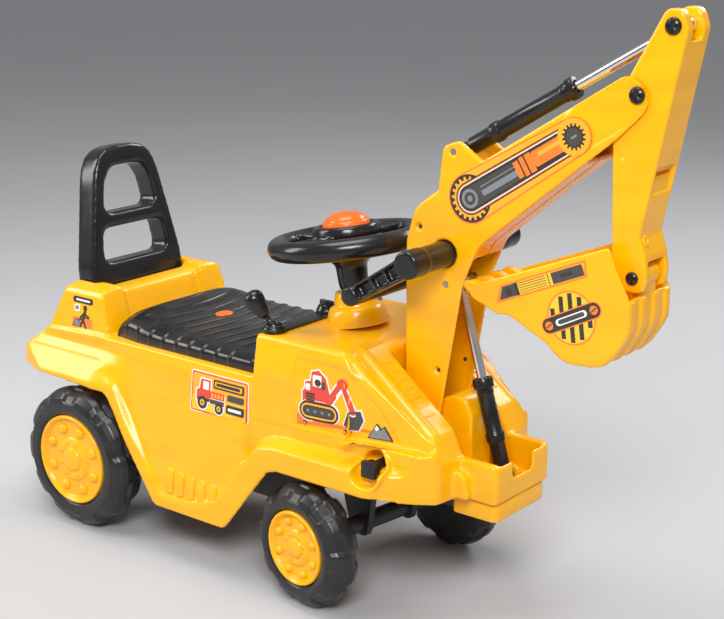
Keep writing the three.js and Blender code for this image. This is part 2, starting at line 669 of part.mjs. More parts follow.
const BACKREST_LEAN = THREE.MathUtils.degToRad(-7.5);
const backrestFrame = [
  [-74, 262, 4], [-72, 300, 40], [-52, 400, 60], [-40, 438, 34], [40, 438, 34], [52, 400, 60],
  [72, 300, 40], [74, 262, 4],
];
const lowerSlot = [[-52, 302, 8], [-47, 342, 8], [47, 342, 8], [52, 302, 8]];
const upperSlot = [[-43, 360, 8], [-36, 396, 16], [-24, 414, 14], [24, 414, 14], [36, 396, 16],
  [43, 360, 8]];
const backrest = cut(
  frontPrism(backrestFrame, -16, 16, 3),
  frontPrism(lowerSlot, -20, 20, 2),
  frontPrism(upperSlot, -20, 20, 2),
).translate([0, 0, -280]).rotate([0, THREE.MathUtils.radToDeg(BACKREST_LEAN), 0]).translate([-30, 0, 280]);
const backrestTrim = block(-90, 40, -90, 90, 200, 262 + GAP);
const backrestRoom = cut(block(-120, 60, -200, 200, 262, 300),
  block(BACKREST_SLOT[0] - 0.7, BACKREST_SLOT[1] + 0.7, -74.7, 74.7, 200, 320));
addPiece('backrest', cut(backrest, backrestTrim, backrestRoom.intersect(humpFit)), BLACK, 0.3);

// ---------------------------------------------------------------- steering column

const columnAxis = new THREE.Vector3(-Math.sin(COLUMN_TILT), 0, Math.cos(COLUMN_TILT));
const columnBase = new THREE.Vector3(COLUMN_X, 0, CONSOLE_Z + 4);

/** A point on the steering axis, a distance above the console. */
function onColumn(height) {
  return columnBase.clone().addScaledVector(columnAxis, height);
}

const collarBore = STEERING_ROD_RADIUS + RUNNING_GAP;
const collarProfile = [
  [collarBore, -8], [36, -8], [34, 4], [25, 9], [24, 12], [22, 30], [20, 32], [collarBore, 32],
];
const collarTrim = block(200, 420, -60, 60, 240, CONSOLE_Z + GAP);
addPiece('neck_collar', cut(turned(collarProfile, columnBase, columnAxis, 22), collarTrim), YELLOW, 0.35);

const rodBottom = onColumn(-126);
const steeringRod = bar(rodBottom, onColumn(70), STEERING_ROD_RADIUS, 18);
addPiece('steering_rod', steeringRod, STEEL, 0.35, 1);

const wheelCentre = onColumn(WHEEL_HEIGHT);
const hubProfile = [
  [STEERING_ROD_RADIUS + GAP, 33], [15, 33], [17, 60], [29, 72], [32, 84], [38, 92], [36, 103],
  [HORN_RADIUS + 3, 105], [HORN_RADIUS + 1.5, 96], [9, 96], [9, 74], [STEERING_ROD_RADIUS + GAP, 74],
];
const hub = turned(hubProfile, columnBase, columnAxis, 20);
const rimGeometry = new THREE.TorusGeometry(WHEEL_RIM_RADIUS, WHEEL_RIM_SECTION, 8, 28);
const tiltTurn = new THREE.Quaternion().setFromUnitVectors(new THREE.Vector3(0, 0, 1), columnAxis);
rimGeometry.applyQuaternion(tiltTurn);
rimGeometry.translate(wheelCentre.x, wheelCentre.y, wheelCentre.z);
const rim = outwardSolid(rimGeometry);

/** One flat spoke from the hub to the rim, at an angle from straight ahead. */
function spoke(angle) {
  const geometry = new THREE.BoxGeometry(48, 30, 10);
  geometry.translate(54, 0, 4);
  geometry.rotateZ(angle + STEER_ANGLE);
  geometry.applyQuaternion(tiltTurn);
  geometry.translate(wheelCentre.x, wheelCentre.y, wheelCentre.z);
  return solid(geometry);
}

const spokes = [90, 180, 270].map((angle) => spoke(THREE.MathUtils.degToRad(angle)));
addPiece('steering_wheel', join(hub, rim, ...spokes), BLACK, 0.4);

const hornProfile = [
  [0, 100], [HORN_RADIUS, 100], [HORN_RADIUS, 108], [HORN_RADIUS - 4, 113], [HORN_RADIUS - 13, 116.5],
  [0, 118],
];
addPiece('horn_button', turned(hornProfile, columnBase, columnAxis, 20), ORANGE, 0.3);

// ---------------------------------------------------------------- console controls

const LEVER_PIVOT = new THREE.Vector3(LEVER_X, LEVER_Y, CONSOLE_Z + 4);
const strip = cut(
  planPrism([[CONSOLE_REAR_X + 1, -94, 5], [288, -94, 8], [288, 94, 8], [CONSOLE_REAR_X + 1, 94, 5]],
    CONSOLE_Z + GAP, CONSOLE_Z + STRIP_THICKNESS, 2),
  leverHole,
);
addPiece('console_strip', strip, BLACK, 0.3);

const leverUp = new THREE.Vector3(0, 0, 1);
const leverBase = turned(
  [[LEVER_BALL + 1.2, 0], [14, 0], [13, 3], [LEVER_BALL + 3, 5], [LEVER_BALL + 1.2, 5]],
  new THREE.Vector3(LEVER_X, LEVER_Y, CONSOLE_Z + STRIP_THICKNESS + GAP), leverUp, 18);
addPiece('lever_base', leverBase, BLACK, 0.35);

const leverAxis = new THREE.Vector3(-20, -9, 29).normalize();
const leverProfile = [
  [0, -7], [5, -5], [LEVER_BALL, 0], [5, 5], [3, 8], [3, 14], [6, 16], [8, 22], [11, 31], [11.5, 37],
  [9, 43], [4, 46], [0, 46.5],
];
addPiece('gear_lever', turned(leverProfile, LEVER_PIVOT, leverAxis, 12), BLACK, 0.25);

const knobProfile = [[0, 0], [KNOB_RADIUS, 0], [KNOB_RADIUS, 3], [9, 8], [5, 10.5], [0, 11]];
const dashKnob = join(
  turned(knobProfile, new THREE.Vector3(LEVER_X, KNOB_Y, CONSOLE_Z + STRIP_THICKNESS + GAP), leverUp, 18),
  block(LEVER_X - 10, LEVER_X + 10, KNOB_Y - 2, KNOB_Y + 2, CONSOLE_Z + 8, CONSOLE_Z + 16),
);
addPiece('dash_knob', dashKnob, BLACK, 0.35);

// ---------------------------------------------------------------- boom

const boomSide = [
  [408, 172], [408, 389, 30], [418, 424, 30], [462, 457, 20], [574, 527], [652, 576, 14],
  [684, 556, 18], [643, 515, 10], [576, 460], [496, 394, 30], [478, 352, 30], [452, 204], [452, 172],
];
const boomFoot = crossBar(BOOM_PIVOT, -BOOM_HALF_WIDTH, BOOM_HALF_WIDTH, BOOM_FOOT_RADIUS, 24);
const boomLug = sidePrism([[446, 440], [452, 490, 8], [470, 497, 8], [500, 478]], -BOOM_HALF_WIDTH,
  BOOM_HALF_WIDTH, 2);
const boomBlank = join(sidePrism(boomSide, -BOOM_HALF_WIDTH, BOOM_HALF_WIDTH), boomFoot, boomLug);
const boomHollow = [
  [408 + BOOM_WALL, 120], [408 + BOOM_WALL, 388, 27], [421, 421, 27], [464, 453.4], [576, 523.4],
  [622, 552], [622, 620], [720, 620], [720, 440], [612, 440], [612, 494.5], [573, 462.6],
  [494, 397.6, 20], [487, 383], [520, 360], [520, 120],
];
const boomInner = BOOM_HALF_WIDTH - BOOM_WALL;
const throughBoom = BOOM_HALF_WIDTH + HOLE_OVERRUN;
const lugGap = block(430, 520, -20, 20, 458, 520).subtract(
  sidePrism([[400, 400], [462, 458], [574, 528], [574, 300], [400, 300]], -throughBoom, throughBoom));
const footRoom = crossBar(BOOM_PIVOT, -boomInner, boomInner, BOOM_FOOT_RADIUS + 4, 20)
  .subtract(block(400, 408 + BOOM_WALL, -throughBoom, throughBoom, 120, 260));
const boomWhole = cut(
  boomBlank,
  sidePrism(boomHollow, -boomInner, boomInner),
  footRoom,
  lugGap,
  crossBar(BOOM_PIVOT, -throughBoom, throughBoom, BOOM_PIN_RADIUS + RUNNING_GAP, 20),
  crossBar(HANDLE_AXIS, -throughBoom, throughBoom, HANDLE_TUBE_RADIUS + RUNNING_GAP, 24),
  crossBar(ELBOW, -throughBoom, throughBoom, ELBOW_PIN_RADIUS + GAP, 16),
  crossBar(ELBOW, -throughBoom, -BOOM_HALF_WIDTH + PIN_HEAD_SINK, PIN_HEAD_RADIUS + 1, 18),
  crossBar(ELBOW, BOOM_HALF_WIDTH - PIN_HEAD_SINK, throughBoom, PIN_HEAD_RADIUS + 1, 18),
  crossBar(BOOM_CYLINDER_HEAD, -throughBoom, throughBoom, CYLINDER_PIN_RADIUS + GAP, 12),
  crossBar(STICK_CYLINDER_FOOT, -throughBoom, throughBoom, CYLINDER_PIN_RADIUS + GAP, 12),
);
const leftRoom = block(380, 720, GAP / 2, 60, 100, 700);
const rightRoom = block(380, 720, -60, -GAP / 2, 100, 700);
addPiece('boom_left', boomWhole.intersect(leftRoom), YELLOW, 0.35);
addPiece('boom_right', boomWhole.intersect(rightRoom), YELLOW, 0.35);

const pivotPin = join(
  crossBar(BOOM_PIVOT, -PIVOT_HEAD_INNER - 2, PIVOT_NUT_OUTER - 4, BOOM_PIN_RADIUS, 18),
  block(BOOM_PIVOT[0] - PIVOT_HEAD_SIZE / 2, BOOM_PIVOT[0] + PIVOT_HEAD_SIZE / 2,
    -PIVOT_HEAD_OUTER, -PIVOT_HEAD_INNER,
    BOOM_PIVOT[1] - PIVOT_HEAD_SIZE / 2, BOOM_PIVOT[1] + PIVOT_HEAD_SIZE / 2),
);
addPiece('boom_pivot_pin', pivotPin, BLACK, 0.45);
const pivotNut = cut(
  crossBar(BOOM_PIVOT, PIVOT_HEAD_INNER, PIVOT_NUT_OUTER, PIVOT_NUT_RADIUS, 6),
  crossBar(BOOM_PIVOT, PIVOT_HEAD_INNER - 2, PIVOT_NUT_OUTER + 2, BOOM_PIN_RADIUS + GAP, 18),
);
addPiece('boom_pivot_nut', pivotNut, BLACK, 0.45);

const elbowPin = join(
  crossBar(ELBOW, -BOOM_HALF_WIDTH, BOOM_HALF_WIDTH, ELBOW_PIN_RADIUS, 16),
  crossBar(ELBOW, -BOOM_HALF_WIDTH, -BOOM_HALF_WIDTH + PIN_HEAD_SINK - GAP, PIN_HEAD_RADIUS, 16),
  crossBar(ELBOW, BOOM_HALF_WIDTH - PIN_HEAD_SINK + GAP, BOOM_HALF_WIDTH, PIN_HEAD_RADIUS, 16),
);
addPiece('elbow_pin', elbowPin, BLACK, 0.4);
const sunkEnd = BOOM_HALF_WIDTH - 1;
const headPin = crossBar(BOOM_CYLINDER_HEAD, -sunkEnd, sunkEnd, CYLINDER_PIN_RADIUS, 12);
const footPin = crossBar(STICK_CYLINDER_FOOT, -sunkEnd, sunkEnd, CYLINDER_PIN_RADIUS, 12);
addPiece('boom_cylinder_head_pin', headPin, STEEL, 0.35, 1);
addPiece('stick_cylinder_foot_pin', footPin, STEEL, 0.35, 1);
const lugPin = crossBar(BOOM_CYLINDER_FOOT, -17, 17, CYLINDER_PIN_RADIUS, 12);
addPiece('boom_cylinder_foot_pin', lugPin, STEEL, 0.35, 1);

// ---------------------------------------------------------------- handle, crank and push rod

const armOutline = [[462, 370, 4], [456, 396, 8], [440, 392, 8], [376, 350, 8], [384, 330, 8]];
const handleArm = sidePrism(armOutline, HANDLE_ARM_INNER, HANDLE_ARM_INNER + HANDLE_ARM_WIDTH, 2);
const handleFrame = join(
  crossBar(HANDLE_AXIS, -HANDLE_HALF_WIDTH, HANDLE_HALF_WIDTH, HANDLE_TUBE_RADIUS, 20),
  crossBar(HANDLE_AXIS, HANDLE_ARM_INNER, HANDLE_HALF_WIDTH - 0.5, HANDLE_HUB_RADIUS, 20),
  crossBar(HANDLE_AXIS, -HANDLE_HALF_WIDTH + 0.5, -HANDLE_ARM_INNER, HANDLE_HUB_RADIUS, 20),
  handleArm,
  mirroredY(handleArm),
  crossBar(GRIP, -HANDLE_HALF_WIDTH, HANDLE_HALF_WIDTH, GRIP_RADIUS, 16),
);
addPiece('handle_frame', handleFrame, BLACK, 0.35);

// The push rod lies on the inner tangent of the crank circle and the lever circle.
const span = [ELBOW[0] - HANDLE_AXIS[0], ELBOW[1] - HANDLE_AXIS[1]];
const spanLength = Math.hypot(span[0], span[1]);
const rodAngle = Math.atan2(span[1], span[0]) - Math.asin((CRANK_RADIUS + LEVER_RADIUS) / spanLength);
const crankAngle = rodAngle + Math.PI / 2 + HANDLE_SWING / 2;
const leverAngle = rodAngle - Math.PI / 2 - STICK_SWING / 2;
const crankPin = [
  HANDLE_AXIS[0] + CRANK_RADIUS * Math.cos(crankAngle),
  HANDLE_AXIS[1] + CRANK_RADIUS * Math.sin(crankAngle),
];
const leverPin = [
  ELBOW[0] + LEVER_RADIUS * Math.cos(leverAngle),
  ELBOW[1] + LEVER_RADIUS * Math.sin(leverAngle),
];

/** A strip of material between two side points, solid from y0 to y1. */
function link(from, to, halfWidth, y0, y1) {
  const along = new THREE.Vector2(to[0] - from[0], to[1] - from[1]).normalize();
  const across = [-along.y * halfWidth, along.x * halfWidth];
  const outline = [
    [from[0] + across[0], from[1] + across[1]], [from[0] - across[0], from[1] - across[1]],
    [to[0] - across[0], to[1] - across[1]], [to[0] + across[0], to[1] + across[1]],
  ];
  return sidePrism(outline, y0, y1);
}

const crank = cut(
  join(
    crossBar(HANDLE_AXIS, CRANK_INNER, CRANK_OUTER, HANDLE_TUBE_RADIUS + 4, 20),
    link(HANDLE_AXIS, crankPin, 6, CRANK_INNER, CRANK_OUTER),
    crossBar(crankPin, CRANK_INNER, CRANK_OUTER, 6, 14),
    crossBar(crankPin, -CRANK_INNER - 1, CRANK_INNER + 1, LINK_PIN_RADIUS, 12),
  ),
  crossBar(HANDLE_AXIS, CRANK_INNER - 4, CRANK_OUTER + 2, HANDLE_TUBE_RADIUS + GAP, 20),
);
addPiece('handle_crank', crank, STEEL, 0.4, 1);

const pushRod = cut(
  join(
    link(crankPin, leverPin, 2.2, -PUSH_ROD_HALF_WIDTH, PUSH_ROD_HALF_WIDTH),
    crossBar(crankPin, -PUSH_ROD_HALF_WIDTH, PUSH_ROD_HALF_WIDTH, 6, 14),
    crossBar(leverPin, -PUSH_ROD_HALF_WIDTH, PUSH_ROD_HALF_WIDTH, 5.5, 14),
  ),
  crossBar(crankPin, -PUSH_ROD_HALF_WIDTH - 1, PUSH_ROD_HALF_WIDTH + 1, LINK_PIN_RADIUS + LINK_SLACK, 14),
  crossBar(leverPin, -PUSH_ROD_HALF_WIDTH - 1, PUSH_ROD_HALF_WIDTH + 1, LEVER_PIN_RADIUS + LINK_SLACK, 14),
);
addPiece('push_rod', pushRod, STEEL, 0.4, 1);

// ---------------------------------------------------------------- stick

const stickSide = [
  [684, 634, 8], [653, 577], [643, 557], [637, 510], [641, 412], [642, 389, 6], [650, 375, 8],
  [678, 375, 10], [678, 396, 4], [675, 412], [669, 428], [683, 497], [706, 616, 8], [700, 634, 8],
];
const stickInner = STICK_HALF_WIDTH - STICK_WALL;
const throughStick = STICK_HALF_WIDTH + HOLE_OVERRUN;
const stickHollow = [[600, 412], [662, 412], [665, 430], [696, 596], [600, 596]];
const stick = cut(
  sidePrism(stickSide, -STICK_HALF_WIDTH, STICK_HALF_WIDTH, 2),
  sidePrism(stickHollow, -stickInner, stickInner),
  sidePrism([[600, 595], [696, 595], [697, 606], [740, 606], [740, 660], [600, 660]], -9.5, 9.5),
  block(600, 740, -BUCKET_EYE_HALF_WIDTH - 2, BUCKET_EYE_HALF_WIDTH + 2, 340, 404),
  sidePrism([[674, 466], [700, 474], [700, 492], [677, 492]], -18, 18),
  crossBar(ELBOW, -throughStick, throughStick, ELBOW_PIN_RADIUS + RUNNING_GAP, 18),
  crossBar(leverPin, -throughStick, throughStick, LEVER_PIN_RADIUS + GAP, 12),
  crossBar(STICK_TOP, -throughStick, throughStick, CYLINDER_PIN_RADIUS + GAP, 12),
  crossBar(BUCKET_PIVOT, -throughStick, throughStick, BUCKET_PIN_RADIUS + RUNNING_GAP, 14),
);
addPiece('stick', stick, YELLOW, 0.35);
const leverPinEnd = STICK_HALF_WIDTH - 0.5;
const linkPin = crossBar(leverPin, -leverPinEnd, leverPinEnd, LEVER_PIN_RADIUS, 12);
addPiece('stick_lever_pin', linkPin, STEEL, 0.4, 1);
const topPin = join(
  crossBar(STICK_TOP, -STICK_HALF_WIDTH - 1, STICK_HALF_WIDTH + 1, CYLINDER_PIN_RADIUS, 12),
  crossBar(STICK_TOP, -STICK_HALF_WIDTH - 2, -STICK_HALF_WIDTH - GAP, PIN_HEAD_RADIUS, 16),
  crossBar(STICK_TOP, STICK_HALF_WIDTH + GAP, STICK_HALF_WIDTH + 2, PIN_HEAD_RADIUS, 16),
);
addPiece('stick_top_pin', topPin, BLACK, 0.35);
const spacer = crossTube(STICK_TOP, 5.8, 9.2, 7.5, CYLINDER_PIN_RADIUS + GAP, 16);
addPiece('pin_spacer_left', spacer, CHROME, 0.15, 1);
addPiece('pin_spacer_right', mirroredY(spacer), CHROME, 0.15, 1);

// ---------------------------------------------------------------- bucket

const bucketSide = [
  [497, 347, 2], [497, 359, 2], [648, 419, 4], [656, 399, 6], [670, 374], [671, 342, 26],
  [648, 304, 26], [606, 302, 20], [584, 316, 20], [542, 336, 6], [528, 335, 4],
];
const bucketHollow = [
  [480, 356], [480, 480], [720, 480], [720, 371], [666.5, 371], [667.5, 343, 23],
  [646, 307.5, 23], [608, 305.5, 17], [586, 319.5, 17], [543, 339.8, 5], [529, 339, 3],
];
const bucketInner = BUCKET_HALF_WIDTH - BUCKET_WALL;
const toothOutline = [[488, 357, 2], [492, 361, 2], [528, 344], [530, 336], [504, 344, 4]];
const ribOutline = [
  [673, 370], [673.5, 341, 28], [649, 301.5, 28], [605, 299.5, 20], [590, 310], [606, 304, 20],
  [647, 306, 24], [669, 343, 24], [669, 370],
];
let bucket = cut(
  sidePrism(bucketSide, -BUCKET_HALF_WIDTH, BUCKET_HALF_WIDTH, 2),
  sidePrism(bucketHollow, -bucketInner, bucketInner, 2),
);
for (const y of [-34, -11.5, 11.5, 34]) {
  bucket = bucket.add(sidePrism(toothOutline, y - 6, y + 6, 1));
  bucket = bucket.add(sidePrism(ribOutline, y - 5, y + 5, 2));
}
bucket = join(
  bucket,
  crossBar(BUCKET_PIVOT, -BUCKET_EYE_HALF_WIDTH, BUCKET_EYE_HALF_WIDTH, 10.5, 18),
  block(BUCKET_PIVOT[0] - 4, BUCKET_PIVOT[0] + 6, -BUCKET_EYE_HALF_WIDTH, BUCKET_EYE_HALF_WIDTH,
    BUCKET_PIVOT[1] - 25, BUCKET_PIVOT[1]),
);
const bucketBore = BUCKET_PIN_RADIUS + RUNNING_GAP;
bucket = cut(bucket, crossBar(BUCKET_PIVOT, -throughStick, throughStick, bucketBore, 14));
addPiece('bucket', bucket, YELLOW, 0.35);
const bucketPin = join(
  crossBar(BUCKET_PIVOT, -STICK_HALF_WIDTH - 1, STICK_HALF_WIDTH + 1, BUCKET_PIN_RADIUS, 14),
  crossBar(BUCKET_PIVOT, -STICK_HALF_WIDTH - 2.2, -STICK_HALF_WIDTH - 0.4, BUCKET_HEAD_RADIUS, 14),
  crossBar(BUCKET_PIVOT, STICK_HALF_WIDTH + 0.4, STICK_HALF_WIDTH + 2.2, BUCKET_HEAD_RADIUS, 14),
);
addPiece('bucket_pin', bucketPin, BLACK, 0.4);

// ---------------------------------------------------------------- cylinders

/** A barrel with a foot eye, and a rod with a head eye, between two side points. */
function cylinderPair(foot, head, sizes) {
  const from = new THREE.Vector3(foot[0], 0, foot[1]);
  const to = new THREE.Vector3(head[0], 0, head[1]);
  const axis = to.clone().sub(from);
  const length = axis.length();
  const { barrel, rod, barrelEnd, rodStart, collar } = sizes;
  const bore = rod + RUNNING_GAP;
  const barrelProfile = [
    [0, 7], [barrel - 1, 7], [barrel, 10], [barrel, 36], [barrel + 1.2, 38], [barrel + 1.2, 45],
    [barrel, 47], [barrel, barrelEnd - collar], [barrel + 1.8, barrelEnd - collar + 1],
    [barrel + 1.8, barrelEnd - 1], [barrel, barrelEnd], [bore, barrelEnd], [bore, 16], [0, 16],
  ];
  const barrelSolid = cut(
    join(turned(barrelProfile, from, axis, 18), crossBar(foot, -8, 8, 7.5, 16)),
    crossBar(foot, -12, 12, CYLINDER_PIN_RADIUS + RUNNING_GAP, 14),
  );
  const rodProfile = [[0, rodStart], [rod, rodStart], [rod, length - 4], [0, length - 4]];
  const rodSolid = cut(
    join(turned(rodProfile, from, axis, 16), crossBar(head, -5.5, 5.5, 8, 16)),
    crossBar(head, -12, 12, CYLINDER_PIN_RADIUS + EYE_SLACK, 14),
  );
  return { barrelSolid, rodSolid };
}

const boomCylinder = cylinderPair(BOOM_CYLINDER_FOOT, BOOM_CYLINDER_HEAD,
  { barrel: 9, rod: 5.2, barrelEnd: 104, rodStart: 68, collar: 12 });
addPiece('boom_cylinder_barrel', boomCylinder.barrelSolid, BLACK, 0.3);
addPiece('boom_cylinder_rod', boomCylinder.rodSolid, CHROME, 0.1, 1);

const stickCylinder = cylinderPair(STICK_CYLINDER_FOOT, STICK_TOP,
  { barrel: 9.5, rod: 5.2, barrelEnd: 141, rodStart: 58, collar: 10 });
addPiece('stick_cylinder_barrel', stickCylinder.barrelSolid, BLACK, 0.3);
addPiece('stick_cylinder_rod', stickCylinder.rodSolid, CHROME, 0.1, 1);

// ---------------------------------------------------------------- placing

const bounds = new THREE.Box3().setFromObject(excavator);
const centre = bounds.getCenter(new THREE.Vector3());
for (const piece of excavator.children) {
  piece.geometry.translate(-centre.x, -centre.y, -bounds.min.z);
}

export default excavator;
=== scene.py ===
"""Looks of a child's ride-on toy excavator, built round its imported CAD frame.

Sizes are in millimetres in the maker's own axes: x forward from the rear axle, y to the
rider's left from the middle plane, z up from the ground. Bench.piece() turns a finished
shape into metres and puts it in the frame.
"""

import json
import logging
import math
from dataclasses import dataclass
from enum import Enum
from typing import Callable, Iterable, Sequence

import bmesh
import bpy
from mathutils import Matrix, Vector
from mathutils.bvhtree import BVHTree


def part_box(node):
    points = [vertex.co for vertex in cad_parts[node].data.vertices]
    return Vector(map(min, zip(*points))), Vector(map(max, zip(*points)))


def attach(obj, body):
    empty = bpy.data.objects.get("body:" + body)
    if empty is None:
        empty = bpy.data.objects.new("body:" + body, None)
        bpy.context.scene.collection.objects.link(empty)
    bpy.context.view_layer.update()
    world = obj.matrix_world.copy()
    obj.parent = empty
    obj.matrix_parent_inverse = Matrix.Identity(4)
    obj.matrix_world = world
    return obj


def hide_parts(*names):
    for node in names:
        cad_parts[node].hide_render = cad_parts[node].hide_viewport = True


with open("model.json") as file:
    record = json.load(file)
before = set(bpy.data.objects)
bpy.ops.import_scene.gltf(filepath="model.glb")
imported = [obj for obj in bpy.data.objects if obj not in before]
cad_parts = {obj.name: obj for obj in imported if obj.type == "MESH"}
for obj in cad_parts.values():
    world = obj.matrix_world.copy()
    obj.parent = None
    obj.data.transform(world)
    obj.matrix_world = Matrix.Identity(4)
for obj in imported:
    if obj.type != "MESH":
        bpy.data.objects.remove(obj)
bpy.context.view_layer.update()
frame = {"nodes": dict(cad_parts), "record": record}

LOG = logging.getLogger("toy_excavator")
Corner = tuple[float, ...]
Outline = Sequence[Corner]
Side = tuple[str, int]
SIDES: tuple[Side, Side] = (("right", -1), ("left", 1))
UP = Vector((0, 0, 1))
LEFT = Vector((0, 1, 0))
ORIGIN = Vector((0, 0, 0))
TOUCH = 1e-3


# ------------------------------------------------------------------ small sums

def ease(value: float, start: float, end: float) -> float:
    """A smooth step from 0 at start to 1 at end."""
    share = min(1.0, max(0.0, (value - start) / (end - start)))
    return share * share * (3.0 - 2.0 * share)


def hill(value: float, centre: float, width: float) -> float:
    """A smooth bump that is 1 at its centre and fades out over its width."""
    return math.exp(-((value - centre) / width) ** 2)


def stepped(value: float, table: Sequence[tuple[float, float]]) -> float:
    """Reads a value off straight lines between the points of a table."""
    if value <= table[0][0]:
        return table[0][1]
    for (low, first), (high, second) in zip(table, table[1:]):
        if value <= high:
            return first + (second - first) * (value - low) / (high - low)
    return table[-1][1]


def to_segment(point: Vector, start: Vector, end: Vector) -> float:
    """The distance from a point to a straight stretch."""
    along = end - start
    share = min(1.0, max(0.0, (point - start).dot(along) / along.length_squared))
    return (point - start - along * share).length


def to_line(point: Vector, stops: Sequence[Vector]) -> float:
    """The distance from a point to a line of straight stretches."""
    return min(to_segment(point, a, b) for a, b in zip(stops, stops[1:]))


def inside_depth(point: Vector, outline: Sequence[Vector]) -> float:
    """How far a point lies inside a convex outline that runs clockwise; negative outside."""
    depth = 1e9
    for a, b in zip(outline, list(outline[1:]) + [outline[0]]):
        along = (b - a).normalized()
        depth = min(depth, along.x * (a.y - point.y) + along.y * (point.x - a.x))
    return depth


# ------------------------------------------------------------------ shape tools

class Facing(Enum):
    """Which way an outline is drawn before it gets its thickness."""

    SIDE = "x and z, thick along y"
    PLAN = "x and y, thick along z"
    FRONT = "y and z, thick along x"

    def point(self, a: float, b: float, depth: float) -> Vector:
        """The place of an outline corner at a depth."""
        if self is Facing.SIDE:
            return Vector((a, depth, b))
        if self is Facing.PLAN:
            return Vector((a, b, depth))
        return Vector((depth, a, b))


def add_shape(target: bmesh.types.BMesh, *parts: bmesh.types.BMesh) -> bmesh.types.BMesh:
    """Moves the content of other shapes into a shape.

    Args:
        target: The shape that keeps everything.
        parts: The shapes that are used up.

    Returns:
        The target.
    """
    for part in parts:
        carrier = bpy.data.meshes.new("carrier")
        part.to_mesh(carrier)
        part.free()
        target.from_mesh(carrier)
        bpy.data.meshes.remove(carrier)
    return target


def rounded(shape: bmesh.types.BMesh, edges: list[bmesh.types.BMEdge], width: float, steps: int,
            clamp: bool = True) -> None:
    """Rounds some edges of a shape.

    Args:
        shape: The shape to round.
        edges: The edges.
        width: How far the rounding reaches from each edge.
        steps: How many faces make the rounding.
        clamp: Whether the rounding stops where edges meet.
    """
    bmesh.ops.bevel(shape, geom=edges, offset=width, offset_type="OFFSET", affect="EDGES",
                    segments=steps, profile=0.5, clamp_overlap=clamp, material=-1)


def stood(shape: bmesh.types.BMesh, origin: Vector, axis: Vector) -> bmesh.types.BMesh:
    """Turns a shape made about +z to an axis and moves it to its place."""
    turn = UP.rotation_difference(axis.normalized()).to_matrix().to_4x4()
    bmesh.ops.transform(shape, matrix=Matrix.Translation(origin) @ turn, verts=shape.verts)
    return shape


def sided(sign: int, near: float, far: float) -> tuple[float, float]:
    """A stretch of y on one side of the middle plane, its low end first."""
    return min(sign * near, sign * far), max(sign * near, sign * far)


def prism(outline: Outline, low: float, high: float, facing: Facing, edge: float = 0.0,
          steps: int = 4) -> bmesh.types.BMesh:
    """A solid of constant outline.

    Args:
        outline: Corners as (a, b) or (a, b, radius).
        low: Where the thickness starts.
        high: Where the thickness ends.
        facing: The plane that the outline is drawn in.
        edge: Rounding of the two rims.
        steps: Faces in each rounded corner.

    Returns:
        The closed shape.
    """
    shape = bmesh.new()
    ring = [shape.verts.new(facing.point(c[0], c[1], low)) for c in outline]
    base = shape.faces.new(ring)
    grown = bmesh.ops.extrude_face_region(shape, geom=[base], use_keep_orig=True)
    moved = [g for g in grown["geom"] if isinstance(g, bmesh.types.BMVert)]
    bmesh.ops.translate(shape, verts=moved, vec=facing.point(0, 0, high - low))
    bmesh.ops.recalc_face_normals(shape, faces=shape.faces)
    count = len(outline)
    for i, corner in enumerate(outline):
        if len(corner) < 3 or corner[2] <= 0:
            continue
        here = Vector(corner[:2])
        back = (Vector(outline[i - 1][:2]) - here).normalized()
        ahead = (Vector(outline[(i + 1) % count][:2]) - here).normalized()
        half = math.acos(max(-1.0, min(1.0, back.dot(ahead)))) / 2
        ends = (facing.point(here.x, here.y, low), facing.point(here.x, here.y, high))
        for e in shape.edges:
            if all(min((v.co - end).length for v in e.verts) < TOUCH for end in ends):
                rounded(shape, [e], corner[2] / math.tan(half), steps, False)
                break
    if edge > 0:
        rim = [e for e in shape.edges if e.calc_face_angle(0) > math.radians(60)
               and abs((e.verts[0].co - e.verts[1].co).dot(facing.point(0, 0, 1))) < TOUCH]
        rounded(shape, rim, edge, 3)
    return shape


def spun(shape: bmesh.types.BMesh, steps: int) -> None:
    """Sweeps a line of edges once round +z and merges its seam and poles."""
    bmesh.ops.spin(shape, geom=shape.verts[:] + shape.edges[:], cent=ORIGIN, axis=UP,
                   dvec=(0, 0, 0), angle=2 * math.pi, steps=steps, use_merge=True,
                   use_duplicate=False)
    bmesh.ops.remove_doubles(shape, verts=shape.verts, dist=TOUCH)


def turned(profile: Sequence[tuple[float, float]], origin: Vector, axis: Vector, steps: int = 48,
           edge: float = 0.0) -> bmesh.types.BMesh:
    """A round shape spun from a profile.

    Args:
        profile: (radius, height) points; the line closes on the axis or on itself.
        origin: The place where height is 0.
        axis: The direction of rising height.
        steps: Faces round the shape.
        edge: Rounding of its sharp rings.

    Returns:
        The closed shape.
    """
    shape = bmesh.new()
    closed = list(profile)
    if profile[0][0] > 0 or profile[-1][0] > 0:
        closed.append(profile[0])
    dots = [shape.verts.new((r, 0, h)) for r, h in closed]
    for a, b in zip(dots, dots[1:]):
        shape.edges.new((a, b))
    spun(shape, steps)
    bmesh.ops.dissolve_degenerate(shape, dist=TOUCH / 10, edges=shape.edges)
    bmesh.ops.recalc_face_normals(shape, faces=shape.faces)
    if edge > 0:
        sharp = [e for e in shape.edges if e.is_manifold and e.calc_face_angle(0) > math.radians(35)]
        rounded(shape, sharp, edge, 2)
    return stood(shape, origin, axis)


def crossbar(spot: tuple[float, float], y0: float, y1: float, radius: float, edge: float = 0.6
             ) -> bmesh.types.BMesh:
    """A round bar along y through a side point (x, z)."""
    outline = [(0, 0), (radius, 0), (radius, y1 - y0), (0, y1 - y0)]
    return turned(outline, Vector((spot[0], y0, spot[1])), LEFT, 32, edge)


